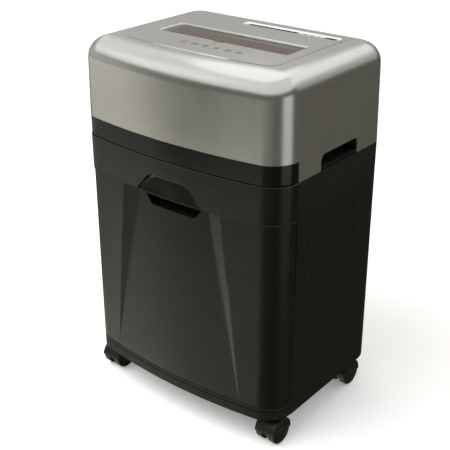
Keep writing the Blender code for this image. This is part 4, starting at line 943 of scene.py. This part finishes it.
def finger_hole():
    """Opening under the crease, straight on top with rounded lower corners."""
    top = CREASE - CREASE_RISE + 0.0001
    right = [(HOLE_HALF_BOTTOM, HOLE_BOTTOM), (HOLE_HALF_TOP, top)]
    left = [(-x, z) for x, z in reversed(right)]
    return solid(rounded(left + right, [0.0008, 0.009, 0.009, 0.0008], 10), -0.16, -0.10, "XZ")


def thumb_dish():
    """Arched hollow above the crease, deepest at its top and running out at the crease."""
    low = CREASE + 0.0022

    def arch(shrink, sunk):
        base, crown, top = DISH_HALF_BOTTOM - shrink, DISH_HALF_TOP - shrink, DISH_TOP - shrink
        across = [(base * (step / 12 - 1), low) for step in range(25)]
        points = []
        for x, z in rounded(across + [(crown, top), (-crown, top)], [0.0] * 25 + [0.020, 0.020], 14):
            depth = sunk * between(z, low, 0.25, low + 0.010, 1.0)
            points.append((x, front_y(x, depth), z))
        return points

    loops = [arch(-0.0002, -0.004), arch(0.0, 0.0), arch(0.0009, DISH_DEPTH * 0.42),
             arch(0.0024, DISH_DEPTH * 0.82), arch(0.0045, DISH_DEPTH)]
    return loft("dish", loops)


def build_drawer_front():
    half = []
    for place, depth, backing in drawer_columns():
        rows = drawer_rows(depth, backing)
        half.append([(place(z), front_y(place(z), inset), z) for z, inset in rows])
    rows = drawer_rows(0.0, 0.0)
    corners = [front_corner(inset) for _, inset in rows]
    for step in range(1, CORNER_STEPS + 1):
        half.append([(*corner[step], z) for (z, _), corner in zip(rows, corners)])
    half.append([(HALF_WIDTH - inset, SEAM_Y - GAP, z) for z, inset in rows])
    other = [[(-x, y, z) for x, y, z in section] for section in half[:0:-1]]
    front = loft("drawer_front_skin", other + half)
    cut(front, finger_hole(), thumb_dish())
    place_piece(soften(front, 0.0008, 24, 3), "satin_front", "drawer_front", body="drawer")


# --- casters


def caster_places():
    for end, y in (("front", CASTER_FRONT_Y), ("rear", CASTER_REAR_Y)):
        for hand, side in (("left", -1), ("right", 1)):
            yield f"{end}_{hand}", side * CASTER_X, y


def build_hood(place, x, y):
    """Swivelling hood: a fender over both wheels, a middle web with the axle hole, and the stem."""
    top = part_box(f"caster_hood_{place}")[1].z
    axle = (y - CASTER_TRAIL, AXLE_Z)
    inner = WHEEL_RADIUS + GAP
    fender = arc_points(axle, HOOD_RADIUS, -8, 178, 30) + arc_points(axle, inner, 178, -8, 30)
    hood = prism(f"hood_{place}", fender, x - HOOD_HALF, x + HOOD_HALF, "YZ")
    web_half = WHEEL_GAP - 0.0005
    web = arc_points(axle, inner + 0.0008, -5, 175, 24) + arc_points(axle, 0.0165, 185, 345, 16)
    join(hood, solid(web, x - web_half, x + web_half, "YZ"))
    neck = rectangle(y - 0.0060, 0.0300, y + 0.0075, 0.0460, 0.001)
    join(hood, solid(neck, x - web_half + 0.0002, x + web_half - 0.0002, "YZ"))
    join(hood, solid(circle((x, y), SEAT_RADIUS), SEAT_BOTTOM, SEAT_TOP))
    join(hood, solid(circle((x, y), STEM_RADIUS), SEAT_TOP - 0.001, top))
    cut(hood, solid(circle(axle, AXLE_RADIUS + RUNNING_FIT), x - 0.03, x + 0.03, "YZ"))
    place_piece(soften(hood, 0.0005, 30, 2), "caster_hoods", f"caster_hood_{place}", body=f"caster_{place}")


def build_casters():
    for place, x, y in caster_places():
        build_hood(place, x, y)
        for hand, side in (("left", -1), ("right", 1)):
            node = f"caster_wheel_{place}_{hand}"
            centre = x + side * (WHEEL_GAP + WHEEL_WIDTH / 2)
            build_wheel(node, centre, y - CASTER_TRAIL, side, f"wheel_{place}_{hand}")


def build_wheel(node, x, y, side, body):
    """Wheel with a rounded tread, a dished face, a raised hub and a bore."""
    half, edge = WHEEL_WIDTH / 2, 0.0016
    tread = [(WHEEL_RADIUS - edge * (1 - math.sin(a)), half - edge * (1 - math.cos(a))) for a in QUARTER_TURN]
    inner_edge = [(WHEEL_RADIUS, -half + 0.0006), (WHEEL_RADIUS - 0.0002, -half + 0.0002),
                  (WHEEL_RADIUS - 0.0006, -half)]
    bore = AXLE_RADIUS + RUNNING_FIT
    hub = [(0.0001, half - 0.0001), (0.0036, half - 0.0001), (0.0042, half - 0.0006), (0.0060, half - 0.0024)]
    dish = [(0.0135, half - 0.0024), (0.0150, half - 0.0018), (0.0172, half - 0.0002), (0.0180, half)]
    back = [(bore, -half), (bore, half - 0.0007), (0.0001, half - 0.0007)]
    profile = [(radius, side * along) for radius, along in hub + dish + tread + inner_edge + back]
    wheel = soften(lathe(body + "_tyre", profile, (x, y, AXLE_Z), "YZ", 64), 0)
    place_piece(wheel, "caster_wheels", node, body=body)


# --- make the pieces

build_cover()
build_throat()
build_collar()
build_flap()
build_strip()
build_knob()
build_lens()
build_symbols()
build_gland()
build_side_panel("side_panel_left", -1)
build_side_panel("side_panel_right", 1)
build_rear_panel()
build_base()
build_drawer_front()
build_casters()

# --- floor, light and camera


def build_floor():
    """Pale matt floor that glows faintly and is not mirrored in the object."""
    reach = 12.0
    floor = box("studio_floor", (-reach, -reach, -0.02), (reach, reach, 0.0))
    material, tree = principled("pale_floor", Specular_IOR_Level=0.2, Emission_Strength=0.22)
    mottle = tree.noise(tree.place(), 3, 2.0)
    colour = tree.mix(tree.remap(mottle, 0.3, 0.7, 0, 1), (0.90, 0.90, 0.90, 1), (0.92, 0.92, 0.92, 1))
    tree.finish(colour, 0.9)
    floor.data.materials.append(material)
    floor.visible_glossy = False


# Soft panels around the object: azimuth centre, half width and edge, elevation centre, half height and
# edge, all in degrees, then brightness and tint. Azimuth 0 is towards -Y and +90 towards +X.
WORLD_BASE = (0.085, (1.0, 0.95, 0.66))
NEUTRAL, WARM = (1.0, 1.0, 1.0), (1.0, 0.98, 0.86)
WORLD_PANELS = [
    (0, 181, 1, 61, 28, 12, 0.88, NEUTRAL),
    (-68, 18, 10, 45, 6, 8, 0.34, NEUTRAL),
    (-95, 30, 14, 24, 10, 10, 0.20, NEUTRAL),
    (-141, 16, 10, 14, 8, 8, 0.42, NEUTRAL),
    (-78, 24, 12, 0, 12, 10, 0.36, WARM),
    (-70, 22, 8, -19, 10, 8, 0.32, WARM),
    (2, 24, 14, -20, 12, 10, 0.10, WARM),
    (90, 13, 12, -10, 11, 9, 0.68, NEUTRAL),
    (165, 22, 12, 25, 12, 10, 0.45, NEUTRAL),
    (-84, 36, 12, -48, 12, 8, 0.90, WARM),
    (-32, 26, 14, -38, 12, 8, 0.60, WARM),
]


def build_world():
    """Light by direction: a bright dome, side cards and a dim lower half; plain white to the camera."""
    world = bpy.data.worlds.new("studio")
    world.use_nodes = True
    bpy.context.scene.world = world
    tree = Tree(world.node_tree)
    direction = tree.add("ShaderNodeTexCoord").outputs["Generated"]
    parts = tree.add("ShaderNodeSeparateXYZ", {0: direction})
    azimuth = tree.math("ARCTAN2", parts.outputs["X"], tree.math("MULTIPLY", parts.outputs["Y"], -1.0))
    azimuth = tree.math("DEGREES", azimuth)
    elevation = tree.math("DEGREES", tree.math("ARCSINE", parts.outputs["Z"]))
    bright, tint = WORLD_BASE
    total = tuple(bright * channel for channel in tint)
    for az, az_half, az_edge, el, el_half, el_edge, bright, tint in WORLD_PANELS:
        turn = tree.math("WRAP", tree.math("SUBTRACT", azimuth, float(az)), 180.0, -180.0)
        rise = tree.math("SUBTRACT", elevation, float(el))
        share = tree.math("MULTIPLY", tree.band(turn, az_half, az_edge), tree.band(rise, el_half, el_edge))
        inputs = {0: share, 1: [bright * channel for channel in tint], 2: total}
        total = tree.add("ShaderNodeVectorMath", inputs, operation="MULTIPLY_ADD").outputs[0]
    seen = tree.add("ShaderNodeLightPath").outputs["Is Camera Ray"]
    studio = tree.add("ShaderNodeBackground", {"Color": total}).outputs[0]
    plain = tree.add("ShaderNodeBackground", {"Color": (1, 1, 1, 1)}).outputs[0]
    choice = tree.add("ShaderNodeMixShader", {0: seen, 1: studio, 2: plain})
    tree.add("ShaderNodeOutputWorld", {"Surface": choice.outputs[0]})


def build_lamp(name, size, energy, place, aim):
    """Soft round lamp that the camera does not see."""
    lamp = bpy.data.lights.new(name, "AREA")
    lamp.shape = "DISK"
    lamp.size = size
    lamp.energy = energy
    item = bpy.data.objects.new(name, lamp)
    item.location = place
    item.rotation_euler = (Vector(place) - Vector(aim)).to_track_quat("Z", "Y").to_euler()
    item.visible_camera = False
    bpy.context.scene.collection.objects.link(item)
    return item


def build_lights():
    """A wide lamp from the front left that is never mirrored, and two soft cards mirrored in the shoulder."""
    wide = build_lamp("overhead", 2.2, 44.0, (-0.7, -1.3, 2.1), (0.0, 0.0, 0.1))
    wide.visible_glossy = False
    for name, size, energy in (("shoulder_glow", 0.36, 0.18), ("shoulder_card", 0.17, 0.060)):
        card = build_lamp(name, size, energy, (0.02, 0.03, 0.80), (0.14, -0.12, 0.56))
        card.visible_diffuse = False


def build_camera():
    """Camera to the front right of the object, looking down at it."""
    data = bpy.data.cameras.new("camera")
    data.sensor_width = 36.0
    data.lens = 72.97
    camera = bpy.data.objects.new("camera", data)
    camera.location = (0.80237, -1.00096, 0.88856)
    camera.rotation_euler = [math.radians(turn) for turn in (64.309, 0.161, 39.003)]
    bpy.context.scene.collection.objects.link(camera)
    bpy.context.scene.camera = camera


build_floor()
build_world()
build_lights()
build_camera()
bpy.context.scene.view_settings.view_transform = "Standard"
